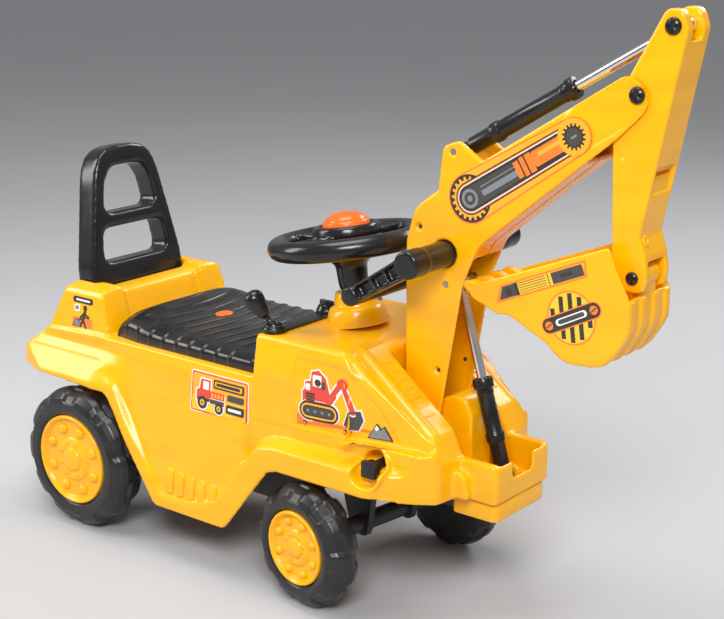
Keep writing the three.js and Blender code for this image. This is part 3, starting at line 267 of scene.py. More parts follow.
def dome_screw(origin: Vector, axis: Vector, radius: float) -> bmesh.types.BMesh:
    """A domed screw head with a cross cut in it.

    Args:
        origin: The middle of the seat under the head.
        axis: The way the head faces.
        radius: The radius of the head.

    Returns:
        The closed shape.
    """
    profile = [(0, 0), (radius, 0), (radius, radius * 0.14), (radius * 0.86, radius * 0.32),
               (radius * 0.6, radius * 0.44), (0, radius * 0.5)]
    head = turned(profile, ORIGIN, UP, 24)
    for v in head.verts:
        arm = min(abs(v.co.x), abs(v.co.y))
        reach = max(abs(v.co.x), abs(v.co.y))
        if v.co.z > radius * 0.2 and arm < radius * 0.16 and reach < radius * 0.62:
            v.co.z -= radius * 0.22
    return stood(head, origin, axis)


def domed_pin(spot: tuple[float, float], half: float, radius: float, seat: float, head: float
              ) -> bmesh.types.BMesh:
    """A round pin along y with a domed screw head on each end.

    Args:
        spot: The side point (x, z) that it goes through.
        half: Half the length of its bar.
        radius: The radius of its bar.
        seat: How far from the middle plane the heads sit.
        head: The radius of the heads.

    Returns:
        The closed shapes, as one.
    """
    pin = crossbar(spot, -half, half, radius)
    for sign in (-1, 1):
        add_shape(pin, dome_screw(Vector((spot[0], sign * seat, spot[1])), LEFT * sign, head))
    return pin


def fused(shape: bmesh.types.BMesh, cell: float, passes: int) -> bmesh.types.BMesh:
    """Grows one continuous skin over overlapping shapes and eases its corners.

    Args:
        shape: Closed shapes, which are used up.
        cell: The spacing of the new skin.
        passes: How often the corners are eased.

    Returns:
        The new closed shape.
    """
    mesh = bpy.data.meshes.new("fusing")
    shape.to_mesh(mesh)
    shape.free()
    carrier = bpy.data.objects.new("fusing", mesh)
    bpy.context.scene.collection.objects.link(carrier)
    skin = carrier.modifiers.new("skin", "REMESH")
    skin.mode = "VOXEL"
    skin.voxel_size = cell
    graph = bpy.context.evaluated_depsgraph_get()
    grown = bpy.data.meshes.new_from_object(carrier.evaluated_get(graph))
    result = bmesh.new()
    result.from_mesh(grown)
    for _ in range(passes):
        bmesh.ops.smooth_vert(result, verts=result.verts, factor=0.5, use_axis_x=True,
                              use_axis_y=True, use_axis_z=True)
    bpy.data.objects.remove(carrier)
    bpy.data.meshes.remove(mesh)
    bpy.data.meshes.remove(grown)
    return result


def thin_hidden(shape: bmesh.types.BMesh, reach: float, angle: float) -> None:
    """Joins flat faces that look at another wall of the same shape from close by.

    Args:
        shape: The shape to lighten.
        reach: How near the other wall is.
        angle: The turn, in degrees, that still counts as flat.
    """
    shape.faces.ensure_lookup_table()
    tree = BVHTree.FromBMesh(shape)
    hidden = set()
    for f in shape.faces:
        start = f.calc_center_median() + f.normal * 0.5
        if tree.ray_cast(start, f.normal, reach)[0] is not None:
            hidden.add(f)
    inner = [e for e in shape.edges if all(f in hidden for f in e.link_faces)]
    verts = [v for v in shape.verts if all(f in hidden for f in v.link_faces)]
    bmesh.ops.dissolve_limit(shape, angle_limit=math.radians(angle), verts=verts, edges=inner,
                             use_dissolve_boundaries=False)


def reshape(shape: bmesh.types.BMesh, move: Callable[[Vector], Vector]) -> bmesh.types.BMesh:
    """Moves every point of a shape by a rule."""
    for v in shape.verts:
        v.co = move(v.co)
    return shape


# ------------------------------------------------------------------ finishes

class Wiring:
    """Adds and joins the nodes of one tree."""

    def __init__(self, tree: bpy.types.NodeTree) -> None:
        """Keeps the tree."""
        self.tree = tree

    def add(self, kind: str, **settings: object) -> bpy.types.Node:
        """Adds a node and sets its properties."""
        node = self.tree.nodes.new(kind)
        for key, value in settings.items():
            setattr(node, key, value)
        return node

    def join(self, source: bpy.types.NodeSocket, target: bpy.types.NodeSocket) -> None:
        """Links an output to an input."""
        self.tree.links.new(source, target)

    def put(self, slot: bpy.types.NodeSocket, value: object) -> None:
        """Links a socket to an input, or sets the input to a value."""
        if isinstance(value, bpy.types.NodeSocket):
            self.join(value, slot)
        else:
            slot.default_value = value

    def maths(self, kind: str, first: object, second: object = 0.0) -> bpy.types.NodeSocket:
        """A sum of two sockets or numbers.

        Args:
            kind: The operation.
            first: A socket or a number.
            second: A socket or a number.

        Returns:
            The output socket.
        """
        node = self.add("ShaderNodeMath", operation=kind)
        for slot, value in zip(node.inputs, (first, second)):
            self.put(slot, value)
        return node.outputs[0]

    def fill(self, node: bpy.types.Node, **values: object) -> bpy.types.Node:
        """Sets a node's inputs, whose names have an underscore for each space."""
        for key, value in values.items():
            self.put(node.inputs[key.replace("_", " ")], value)
        return node

    def remap(self, source: bpy.types.NodeSocket, low: float, high: float, to_low: float = 0.0,
              to_high: float = 1.0) -> bpy.types.NodeSocket:
        """Stretches a value from one range to another, held at its ends."""
        return self.fill(self.add("ShaderNodeMapRange"), Value=source, From_Min=low, From_Max=high,
                         To_Min=to_low, To_Max=to_high).outputs["Result"]

    def noise(self, place: bpy.types.NodeSocket, scale: object, detail: float,
              distortion: float = 0.0) -> bpy.types.NodeSocket:
        """The value of a noise texture at a place."""
        return self.fill(self.add("ShaderNodeTexNoise"), Vector=place, Scale=scale, Detail=detail,
                         Distortion=distortion).outputs["Fac"]

    def bump(self, height: bpy.types.NodeSocket, distance: float, **base: object
             ) -> bpy.types.NodeSocket:
        """The normal of a surface raised by a height."""
        return self.fill(self.add("ShaderNodeBump"), Strength=1.0, Height=height, Distance=distance,
                         **base).outputs["Normal"]

    def blend(self, share: bpy.types.NodeSocket, first: object, second: object
              ) -> bpy.types.NodeSocket:
        """Mixes two colours by a share.

        Args:
            share: How much of the second colour shows.
            first: A socket or an RGB triple.
            second: A socket or an RGB triple.

        Returns:
            The colour socket.
        """
        node = self.add("ShaderNodeMix", data_type="RGBA")
        self.join(share, node.inputs["Factor"])
        for name, value in (("A", first), ("B", second)):
            slot = [s for s in node.inputs if s.name == name and s.type == "RGBA"][0]
            self.put(slot, (*value, 1.0) if isinstance(value, tuple) else value)
        return [s for s in node.outputs if s.type == "RGBA"][0]


def value_group(name: str, inputs: dict[str, float], outputs: Iterable[str]
                ) -> bpy.types.ShaderNodeTree:
    """An empty node group with a Vector input and named value sockets."""
    group = bpy.data.node_groups.new(name, "ShaderNodeTree")
    group.interface.new_socket("Vector", in_out="INPUT", socket_type="NodeSocketVector")
    for key, start in inputs.items():
        made = group.interface.new_socket(key, in_out="INPUT", socket_type="NodeSocketFloat")
        made.default_value = start
    for key in outputs:
        group.interface.new_socket(key, in_out="OUTPUT", socket_type="NodeSocketFloat")
    return group


def moulded_skin_group() -> bpy.types.ShaderNodeTree:
    """Fine grain, slow waviness and faint flow marks of moulded plastic."""
    group = value_group("moulded_skin", {"Grain": 1500.0, "Wave": 24.0}, ("Grain", "Wave", "Flow"))
    w = Wiring(group)
    start = w.add("NodeGroupInput").outputs
    end = w.add("NodeGroupOutput")
    stretch = w.fill(w.add("ShaderNodeMapping"), Vector=start["Vector"], Scale=(1.0, 1.0, 5.0))
    w.fill(end, Grain=w.noise(start["Vector"], start["Grain"], 2.0),
           Wave=w.noise(start["Vector"], start["Wave"], 2.0),
           Flow=w.noise(stretch.outputs["Vector"], 9.0, 4.0, 0.8))
    return group


def edge_wear_group() -> bpy.types.ShaderNodeTree:
    """A broken-up mask along raised edges."""
    group = value_group("edge_wear", {"Start": 0.53, "Full": 0.6}, ("Wear",))
    w = Wiring(group)
    start = w.add("NodeGroupInput").outputs
    end = w.add("NodeGroupOutput")
    shape = w.add("ShaderNodeNewGeometry").outputs["Pointiness"]
    edge = w.remap(shape, start["Start"], start["Full"])
    broken = w.remap(w.noise(start["Vector"], 60.0, 5.0), 0.42, 0.62)
    w.fill(end, Wear=w.maths("MULTIPLY", edge, broken))
    return group


def settled_dust_group() -> bpy.types.ShaderNodeTree:
    """A thin patchy mask on faces that look up."""
    group = value_group("settled_dust", {"Amount": 0.3}, ("Dust",))
    w = Wiring(group)
    start = w.add("NodeGroupInput").outputs
    end = w.add("NodeGroupOutput")
    axes = w.add("ShaderNodeSeparateXYZ")
    w.join(w.add("ShaderNodeNewGeometry").outputs["Normal"], axes.inputs["Vector"])
    broken = w.remap(w.noise(start["Vector"], 35.0, 6.0), 0.4, 0.75)
    dusty = w.maths("MULTIPLY", w.remap(axes.outputs["Z"], 0.5, 1.0), broken)
    w.fill(end, Dust=w.maths("MULTIPLY", dusty, start["Amount"]))
    return group


class Finish:
    """A material in the making: its tree, its shader and the moulded skin on its coordinates."""

    def __init__(self, name: str, groups: dict[str, bpy.types.ShaderNodeTree], grain: float,
                 wave: float) -> None:
        """Starts the material.

        Args:
            name: The material's name.
            groups: The shared node groups by name.
            grain: Grains to the metre.
            wave: Waves to the metre.
        """
        self.material = bpy.data.materials.new(name)
        self.material.use_nodes = True
        self.groups = groups
        self.w = Wiring(self.material.node_tree)
        self.place = self.w.add("ShaderNodeTexCoord").outputs["Object"]
        self.skin = self.effect("moulded_skin", Grain=grain, Wave=wave)

    def effect(self, name: str, **values: float) -> bpy.types.bpy_prop_collection:
        """Places a shared group and gives its outputs."""
        node = self.w.add("ShaderNodeGroup", node_tree=self.groups[name])
        return self.w.fill(node, Vector=self.place, **values).outputs

    def set(self, **values: object) -> bpy.types.Material:
        """Fills the shader's inputs, as Wiring.fill does, and gives the material."""
        self.w.fill(self.material.node_tree.nodes["Principled BSDF"], **values)
        return self.material


DUST_COLOUR = (0.55, 0.5, 0.42)


@dataclass(frozen=True)
class Plastic:
    """A moulded plastic finish; lengths of grain are per metre."""

    name: str
    colour: tuple[float, float, float]
    deep: tuple[float, float, float]
    worn: tuple[float, float, float]
    rough_low: float
    rough_high: float
    grain: float = 1500.0
    grain_depth: float = 0.00002
    wave: float = 24.0
    wave_depth: float = 0.0004
    wear: float = 0.35
    dust: float = 0.1
    sheen_in: float = 0.0

    def build(self, groups: dict[str, bpy.types.ShaderNodeTree]) -> bpy.types.Material:
        """Makes the material.

        Args:
            groups: The shared node groups by name.

        Returns:
            The material.
        """
        made = Finish(self.name, groups, self.grain, self.wave)
        w, skin = made.w, made.skin
        wear = made.effect("edge_wear")["Wear"]
        dust = made.effect("settled_dust", Amount=self.dust)["Dust"]
        body = w.blend(w.remap(skin["Flow"], 0.35, 0.7), self.colour, self.deep)
        worn = w.blend(w.maths("MULTIPLY", wear, self.wear), body, self.worn)
        shine = w.remap(skin["Wave"], 0.3, 0.7, self.rough_low, self.rough_high)
        rubbed = w.maths("ADD", shine, w.maths("MULTIPLY", wear, 0.15))
        waves = w.bump(skin["Wave"], self.wave_depth)
        return made.set(
            Base_Color=w.blend(dust, worn, DUST_COLOUR),
            Roughness=w.maths("ADD", rubbed, w.maths("MULTIPLY", dust, 0.4)),
            Normal=w.bump(skin["Grain"], self.grain_depth, Normal=waves), IOR=1.5,
            Subsurface_Weight=self.sheen_in, Subsurface_Scale=0.004)


@dataclass(frozen=True)
class Metal:
    """A bare metal finish with fine drawn scratches."""

    name: str
    colour: tuple[float, float, float]
    dull: tuple[float, float, float]
    rough_low: float
    rough_high: float
    scratch_depth: float = 0.00001

    def build(self, groups: dict[str, bpy.types.ShaderNodeTree]) -> bpy.types.Material:
        """Makes the material from the shared groups."""
        made = Finish(self.name, groups, 900.0, 60.0)
        w, skin = made.w, made.skin
        return made.set(
            Base_Color=w.blend(w.remap(skin["Flow"], 0.4, 0.7), self.colour, self.dull),
            Roughness=w.remap(skin["Wave"], 0.35, 0.7, self.rough_low, self.rough_high),
            Normal=w.bump(skin["Grain"], self.scratch_depth), Metallic=1.0)


@dataclass(frozen=True)
class PrintedFilm:
    """Glossy printed film whose ink comes from the piece's own colour attribute."""

    name: str = "printed_film"

    def build(self, groups: dict[str, bpy.types.ShaderNodeTree]) -> bpy.types.Material:
        """Makes the material from the shared groups."""
        made = Finish(self.name, groups, 2600.0, 45.0)
        w, skin = made.w, made.skin
        ink = w.add("ShaderNodeAttribute", attribute_name="ink").outputs["Color"]
        faded = w.maths("MULTIPLY", w.remap(skin["Grain"], 0.4, 0.8), 0.12)
        return made.set(Base_Color=w.blend(faded, ink, (0.8, 0.7, 0.5)),
                        Roughness=w.remap(skin["Wave"], 0.3, 0.7, 0.22, 0.36),
                        Normal=w.bump(skin["Wave"], 0.00008))


@dataclass(frozen=True)
class PaleFloor:
    """The plain matt floor of the studio."""

    name: str = "pale_floor"

    def build(self, groups: dict[str, bpy.types.ShaderNodeTree]) -> bpy.types.Material:
        """Makes the material from the shared groups."""
        made = Finish(self.name, groups, 1500.0, 3.0)
        tone = made.w.blend(made.skin["Wave"], (0.5, 0.5, 0.51), (0.54, 0.54, 0.545))
        return made.set(Base_Color=tone, Roughness=0.75)


YELLOW = Plastic("yellow_plastic", (1.0, 0.49, 0.0), (0.96, 0.43, 0.0), (1.0, 0.6, 0.06),
                 0.2, 0.28, grain_depth=0.000012, wave_depth=0.0005, dust=0.03, sheen_in=0.05)
BLACK = Plastic("black_plastic", (0.0085, 0.008, 0.008), (0.012, 0.0112, 0.011),
                (0.05, 0.048, 0.046), 0.16, 0.27, grain_depth=0.00001, wear=0.25, dust=0.04)
DARK = Plastic("dark_grey_plastic", (0.02, 0.02, 0.021), (0.028, 0.028, 0.029),
               (0.08, 0.08, 0.08), 0.42, 0.55, grain_depth=0.00006)
TYRE = Plastic("tyre_plastic", (0.013, 0.0122, 0.012), (0.018, 0.0168, 0.0164),
               (0.05, 0.047, 0.044), 0.26, 0.38, grain_depth=0.00004, dust=0.1)
ORANGE = Plastic("orange_plastic", (1.0, 0.155, 0.006), (0.92, 0.125, 0.004), (1.0, 0.34, 0.1),
                 0.18, 0.27, grain_depth=0.00001, dust=0.03)
CHROME = Metal("mirror_chrome", (0.82, 0.82, 0.84), (0.7, 0.7, 0.73), 0.04, 0.12, 0.000003)
ZINC = Metal("zinc_steel", (0.5, 0.5, 0.52), (0.4, 0.4, 0.41), 0.28, 0.42)


# ------------------------------------------------------------------ the bench

class Bench:
    """Holds the materials and the origin, and hands shapes over to the frame."""

    def __init__(self) -> None:
        """Builds the shared node groups and every material, and finds the origin."""
        groups = {"moulded_skin": moulded_skin_group(), "edge_wear": edge_wear_group(),
                  "settled_dust": settled_dust_group()}
        kinds = (YELLOW, BLACK, DARK, TYRE, ORANGE, CHROME, ZINC, PrintedFilm(), PaleFloor())
        self.materials = {kind.name: kind.build(groups) for kind in kinds}
        self.by_slot = {"yellow": YELLOW.name, "black": BLACK.name, "dark": DARK.name,
                        "tyre": TYRE.name, "orange": ORANGE.name, "steel": ZINC.name,
                        "chrome": CHROME.name}
        low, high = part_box("rear_axle")
        self.origin = Vector(((low.x + high.x) / 2, (low.y + high.y) / 2, 0.0))

    def copy_of(self, node: str) -> bmesh.types.BMesh:
        """A merged copy of a CAD node's shape, in the maker's millimetres."""
        shape = bmesh.new()
        shape.from_mesh(frame["nodes"][node].data)
        bmesh.ops.remove_doubles(shape, verts=shape.verts, dist=1e-5)
        back = Matrix.Scale(1000.0, 4) @ Matrix.Translation(-self.origin)
        bmesh.ops.transform(shape, matrix=back, verts=shape.verts)
        return shape

    def piece(self, name: str, shape: bmesh.types.BMesh, body: str, slot: str,
              replaces: Sequence[str] = (), crease: float = 38.0,
              material: str | None = None) -> bpy.types.Object:
        """Makes a finished shape a piece that rides on a body.

        Args:
            name: The piece's name.
            shape: The shape in millimetres, which is used up.
            body: The CAD body it moves with.
            slot: The record's material slot.
            replaces: The CAD nodes it stands for.
            crease: Edges sharper than this many degrees stay crisp.
            material: A material other than the slot's own.

        Returns:
            The object.
        """
        into = Matrix.Translation(self.origin) @ Matrix.Scale(0.001, 4)
        bmesh.ops.transform(shape, matrix=into, verts=shape.verts)
        mesh = bpy.data.meshes.new(name)
        shape.to_mesh(mesh)
        shape.free()
        for polygon in mesh.polygons:
            polygon.use_smooth = True
        mesh.set_sharp_from_angle(angle=math.radians(crease))
        mesh.materials.append(self.materials[material or self.by_slot[slot]])
        obj = bpy.data.objects.new(name, mesh)
        bpy.context.scene.collection.objects.link(obj)
        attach(obj, body)
        if replaces:
            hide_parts(*replaces)
        LOG.info("%s: %d faces on %s", name, len(mesh.polygons), body)
        return obj

    def dress_nodes(self) -> None:
        """Gives every CAD node the finish of its slot in the record."""
        for part in frame["record"]["subparts"]:
            node = frame["nodes"][part["node"]]
            node.data.materials.clear()
            node.data.materials.append(self.materials[self.by_slot[part["material_slot"]]])
        LOG.info("dressed %d CAD nodes", len(frame["nodes"]))


# ------------------------------------------------------------------ wheels

@dataclass
class RoadWheel:
    """One wheel: a hollow tyre with shoulder pockets and a bolted hub cap."""

    end: str
    side: str
    sign: int
    radius: float
    width: float
    hub_radius: float
    centre: Vector
    heading: float = 0.0
    lugs: int = 10
    pocket: float = 3.9
    recess: float = 14.0
    axle_hole: float = 6.0

    def tyre(self) -> bmesh.types.BMesh:
        """The tyre, its inner face on height 0 of its own axis."""
        r, w, seat = self.radius, self.width, self.hub_radius + 0.4
        profile = [(self.axle_hole, 0.4), (r - 18, 0.4), (r - 9, 2.5), (r - 3.2, 8), (r - 0.4, 15),
                   (r - 0.2, w * 0.5), (r - 0.6, w - 15), (r - 4, w - 8), (r - 10, w - 2.5),
                   (r - 17, w - 0.3), (seat + 5, w - 0.6), (seat + 2.4, w - 1.2), (seat, w - 3.4),
                   (seat, w - self.recess), (self.axle_hole, w - self.recess)]
        shape = turned(profile, ORIGIN, UP, 160)
        rings = [e for e in shape.edges if abs(e.verts[0].co.z - e.verts[1].co.z) > 1.5
                 or abs(e.verts[0].co.xy.length - e.verts[1].co.xy.length) > 4]
        rings = [e for e in rings if min(v.co.xy.length for v in e.verts) > seat]
        bmesh.ops.subdivide_edges(shape, edges=rings, cuts=5, use_grid_fill=True)
        return reshape(shape, self.tread)

    def tread(self, point: Vector) -> Vector:
        """Sinks the pockets between the lugs on both shoulders of the tyre."""
        out = point.xy.length
        if out < self.hub_radius + 4:
            return point
        pitch = 2 * math.pi / self.lugs
        turn = math.atan2(point.y, point.x)
        depth = 0.0
        for start, middle in ((0.0, self.width * 0.79), (0.5, self.width * 0.21)):
            off = ((turn / pitch + start) % 1.0 - 0.5) * pitch * self.radius
            across = ease(12.0 - abs(off), 0.0, 5.0)
            along = ease(self.width * 0.25 - abs(point.z - middle), 0.0, 4.0)
            outside = ease(out, self.radius - 17, self.radius - 10)
            depth = max(depth, across * along * outside)
        groove = hill(((turn / pitch) % 0.5 - 0.25) * pitch * self.radius, 0.0, 2.6)
        crown = ease(out, self.radius - 6, self.radius - 2)
        scale = 1.0 - (self.pocket * depth + 0.9 * groove * crown * (1 - depth)) / out
        return Vector((point.x * scale, point.y * scale, point.z))

    def cap(self) -> bmesh.types.BMesh:
        """The hub cap with its lip, eight domed bolts, a raised ring of studs and a boss."""
        h, w = self.hub_radius, self.width
        back = w - self.recess + 0.4
        profile = [(0, w - 6.2), (13, w - 6.2), (13, back), (h - 0.3, back), (h - 0.3, w - 1.6),
                   (h - 1.6, w - 0.3), (h - 3.4, w - 0.4), (h - 5.4, w - 2.4), (h - 7.2, w - 5.2),
                   (h * 0.5, w - 5.0), (h * 0.47, w - 3.4), (h * 0.44, w - 2.7),
                   (h * 0.3, w - 2.9), (h * 0.27, w - 3.2), (h * 0.25, w - 1.2),
                   (h * 0.21, w - 0.4), (0, w - 0.2)]
        cap = turned(profile, ORIGIN, UP, 72, 0.5)
        bolt = h * 0.115
        head = [(0, -2.0), (bolt, -2.0), (bolt, 1.2), (bolt * 0.9, 2.6), (bolt * 0.62, 3.9),
                (bolt * 0.3, 4.5), (0, 4.6)]
        stud = [(0, -1), (1.9, -1), (1.8, 0.7), (1.1, 1.3), (0, 1.5)]
        for i in range(8):
            angle = math.pi * (i + 0.5) / 4
            spot = Vector((math.cos(angle), math.sin(angle), 0))
            add_shape(cap, turned(head, spot * h * 0.7 + UP * (w - 5.2), UP, 20))
            add_shape(cap, turned(stud, spot * h * 0.37 + UP * (w - 2.7), UP, 12))
        return cap

    def standing(self, shape: bmesh.types.BMesh) -> bmesh.types.BMesh:
        """Turns a wheel shape to its side of the toy and puts it on its axle."""
        lie = Matrix.Rotation(-math.pi / 2 * self.sign, 4, "X")
        steer = Matrix.Rotation(self.heading, 4, "Z")
        into = Matrix.Translation(self.centre) @ steer @ lie
        bmesh.ops.transform(shape, matrix=into, verts=shape.verts)
        return shape

    def build(self, bench: Bench) -> None:
        """Makes both pieces and hands them over."""
        body = f"{self.end}_wheel_{self.side}"
        for node, shape, slot in (("tyre", self.tyre(), "tyre"), ("hub_cap", self.cap(), "yellow")):
            name = f"{self.end}_{node}_{self.side}"
            bench.piece(f"moulded_{name}", self.standing(shape), body, slot, [name],
                        crease=50.0 if node == "tyre" else 34.0)


@dataclass
class RunningGear:
    """The four wheels."""

    rear_radius: float = 84.6
    rear_width: float = 46.0
    rear_hub: float = 54.0
    rear_outer: float = 138.0
    rear_height: float = 85.0
    front_radius: float = 67.6
    front_width: float = 42.0
    front_hub: float = 41.0
    front_outer: float = 133.0
    front_height: float = 68.0
    wheelbase: float = 362.0
    kingpin: float = 346.0
    steer: float = math.radians(-8.0)

    def build(self, bench: Bench) -> None:
        """Places two rear wheels and two steered front wheels."""
        for side, sign in SIDES:
            inner = sign * (self.rear_outer - self.rear_width)
            RoadWheel("rear", side, sign, self.rear_radius, self.rear_width, self.rear_hub,
                      Vector((0, inner, self.rear_height))).build(bench)
            start = Vector((self.wheelbase - self.kingpin,
                            sign * (self.front_outer - self.front_width), self.front_height))
            spot = Matrix.Rotation(self.steer, 4, "Z") @ start + Vector((self.kingpin, 0, 0))
            RoadWheel("front", side, sign, self.front_radius, self.front_width, self.front_hub,
                      spot, self.steer).build(bench)


# ------------------------------------------------------------------ printed film

class Ink(Enum):
    """The printing inks."""

    BLACK = (0.012, 0.011, 0.011)
    CHARCOAL = (0.045, 0.04, 0.04)
    GREY = (0.2, 0.22, 0.25)
    WHITE = (0.88, 0.86, 0.82)
    RED = (0.72, 0.045, 0.02)
    ORANGE = (1.0, 0.2, 0.012)
    AMBER = (1.0, 0.42, 0.01)
    GOLD = (1.0, 0.56, 0.015)


Flat = list[tuple[float, float]]


def disc(u: float, v: float, radius: float, count: int = 36) -> Flat:
    """A round patch."""
    return [(u + radius * math.cos(2 * math.pi * i / count),
             v + radius * math.sin(2 * math.pi * i / count)) for i in range(count)]


def slab(u0: float, v0: float, u1: float, v1: float, corner: float = 0.0) -> Flat:
    """An upright rectangle with rounded corners."""
    if corner <= 0:
        return [(u0, v0), (u1, v0), (u1, v1), (u0, v1)]
    spots = ((u1 - corner, v0 + corner, -90), (u1 - corner, v1 - corner, 0),
             (u0 + corner, v1 - corner, 90), (u0 + corner, v0 + corner, 180))
    return [(u + corner * math.cos(math.radians(start + 22.5 * i)),
             v + corner * math.sin(math.radians(start + 22.5 * i)))
            for u, v, start in spots for i in range(5)]


def capsule(a: tuple[float, float], b: tuple[float, float], first: float,
            second: float | None = None) -> Flat:
    """A stadium from one point to another, whose ends may differ in radius."""
    last = first if second is None else second
    turn = math.atan2(b[1] - a[1], b[0] - a[0])
    ends = ((b, last, -90), (a, first, 90))
    return [(spot[0] + radius * math.cos(turn + math.radians(start + 15 * i)),
             spot[1] + radius * math.sin(turn + math.radians(start + 15 * i)))
            for spot, radius, start in ends for i in range(13)]


def gear(u: float, v: float, radius: float, teeth: int, tooth: float) -> Flat:
    """A toothed wheel."""
    points = []
    for i in range(teeth):
        for share, out in ((0.0, 0.0), (0.14, tooth), (0.46, tooth), (0.6, 0.0)):
            angle = 2 * math.pi * (i + share) / teeth
            points.append((u + (radius + out) * math.cos(angle),
                           v + (radius + out) * math.sin(angle)))
    return points


def grown(points: Flat, margin: float) -> Flat:
    """The same outline moved outwards by a margin at each corner."""
    area = sum(a[0] * b[1] - b[0] * a[1] for a, b in zip(points, points[1:] + points[:1]))
    way = 1.0 if area > 0 else -1.0
    result = []
    for i, here in enumerate(points):
        back = Vector(here) - Vector(points[i - 1])
        ahead = Vector(points[(i + 1) % len(points)]) - Vector(here)
        first = Vector((back.y, -back.x)).normalized() * way
        second = Vector((ahead.y, -ahead.x)).normalized() * way
        mean = first + second
        if mean.length < 0.3:
            mean = first
        mean = mean.normalized()
        reach = margin / max(0.5, mean.dot(first))
        result.append((here[0] + mean.x * reach, here[1] + mean.y * reach))
    return result


@dataclass
class Film:
    """A printed sticker built up from thin patches of ink."""

    name: str
    body: str
    layers: list[tuple[Flat, Ink]]
    thickness: float = 0.5
    first: float = 0.12
    layer: float = 0.035

    def build(self, bench: Bench, place: Callable[[float, float, float], Vector]) -> None:
        """Stacks the patches and lays them on a yellow surface.

        Args:
            bench: The bench that takes the piece.
            place: Turns (u, v, height above the surface) into a point.
        """
        shape = bmesh.new()
        store = shape.loops.layers.float_color.new("ink")
        for level, (points, ink) in enumerate(self.layers):
            top = self.first + level * self.layer
            ring = [shape.verts.new((u, v, top)) for u, v in points]
            face = shape.faces.new(ring)
            grown_up = bmesh.ops.extrude_face_region(shape, geom=[face], use_keep_orig=True)
            moved = [g for g in grown_up["geom"] if isinstance(g, bmesh.types.BMVert)]
            bmesh.ops.translate(shape, verts=moved, vec=(0, 0, -self.thickness - top))
            joined = {f for v in ring + moved for f in v.link_faces}
            for f in joined:
                for loop in f.loops:
                    loop[store] = (*ink.value, 1.0)
        reshape(shape, lambda p: place(p.x, p.y, p.z))
        bmesh.ops.recalc_face_normals(shape, faces=shape.faces)
        bench.piece(self.name, shape, self.body, "yellow", crease=30.0, material="printed_film")


def truck_art() -> list[tuple[Flat, Ink]]:
    """A little tipper truck beside three plain bars, in a red-edged panel 84 by 46."""
    layers = [(slab(-42, -23, 42, 23, 3), Ink.WHITE), (slab(-41, -22, 41, 22, 2.5), Ink.RED),
              (slab(-39.4, -20.4, 39.4, 20.4, 2), Ink.AMBER),
              (slab(-39.4, -20.4, 39.4, -4, 2), Ink.GOLD)]
    cab = [(-33, -8), (-33, 2), (-29, 4), (-27, 15), (-13, 15), (-13, -8)]
    layers += [(grown(cab, 1.6), Ink.WHITE), (slab(-15, -11, 9, 1.5, 1), Ink.WHITE),
               (disc(-24, -11, 8.6), Ink.WHITE), (disc(1, -13.5, 7.6), Ink.WHITE),
               (cab, Ink.RED), (slab(-24, 4, -15.5, 13, 1), Ink.WHITE),
               (slab(-13, -10, 8, -5, 0.8), Ink.CHARCOAL),
               (slab(-13, -4, 8, 3.5, 0.8), Ink.RED), (slab(-32, -9, -14, -6, 0.5), Ink.BLACK)]
    for i in range(4):
        layers.append((slab(-11 + 4.8 * i, -2.6, -8.2 + 4.8 * i, 2.0, 0.5), Ink.AMBER))
    for u, v, r in ((-24, -11, 7.0), (1, -13.5, 6.0)):
        layers += [(disc(u, v, r), Ink.BLACK), (disc(u, v, r * 0.5), Ink.AMBER),
                   (disc(u, v, r * 0.2), Ink.BLACK)]
    layers += [(slab(-8, 8, 36, 17.5, 1.2), Ink.BLACK), (slab(-6, 9.8, 34, 15.7, 0.8), Ink.AMBER),
               (slab(-4, 11, 31, 14.5, 0.6), Ink.BLACK), (slab(13, -2, 36, 4.5, 1), Ink.CHARCOAL),
               (slab(12, -15.5, 37, -6.5, 1), Ink.BLACK), (slab(15, -12.6, 34, -9.4, 0.5), Ink.WHITE)]
    return layers


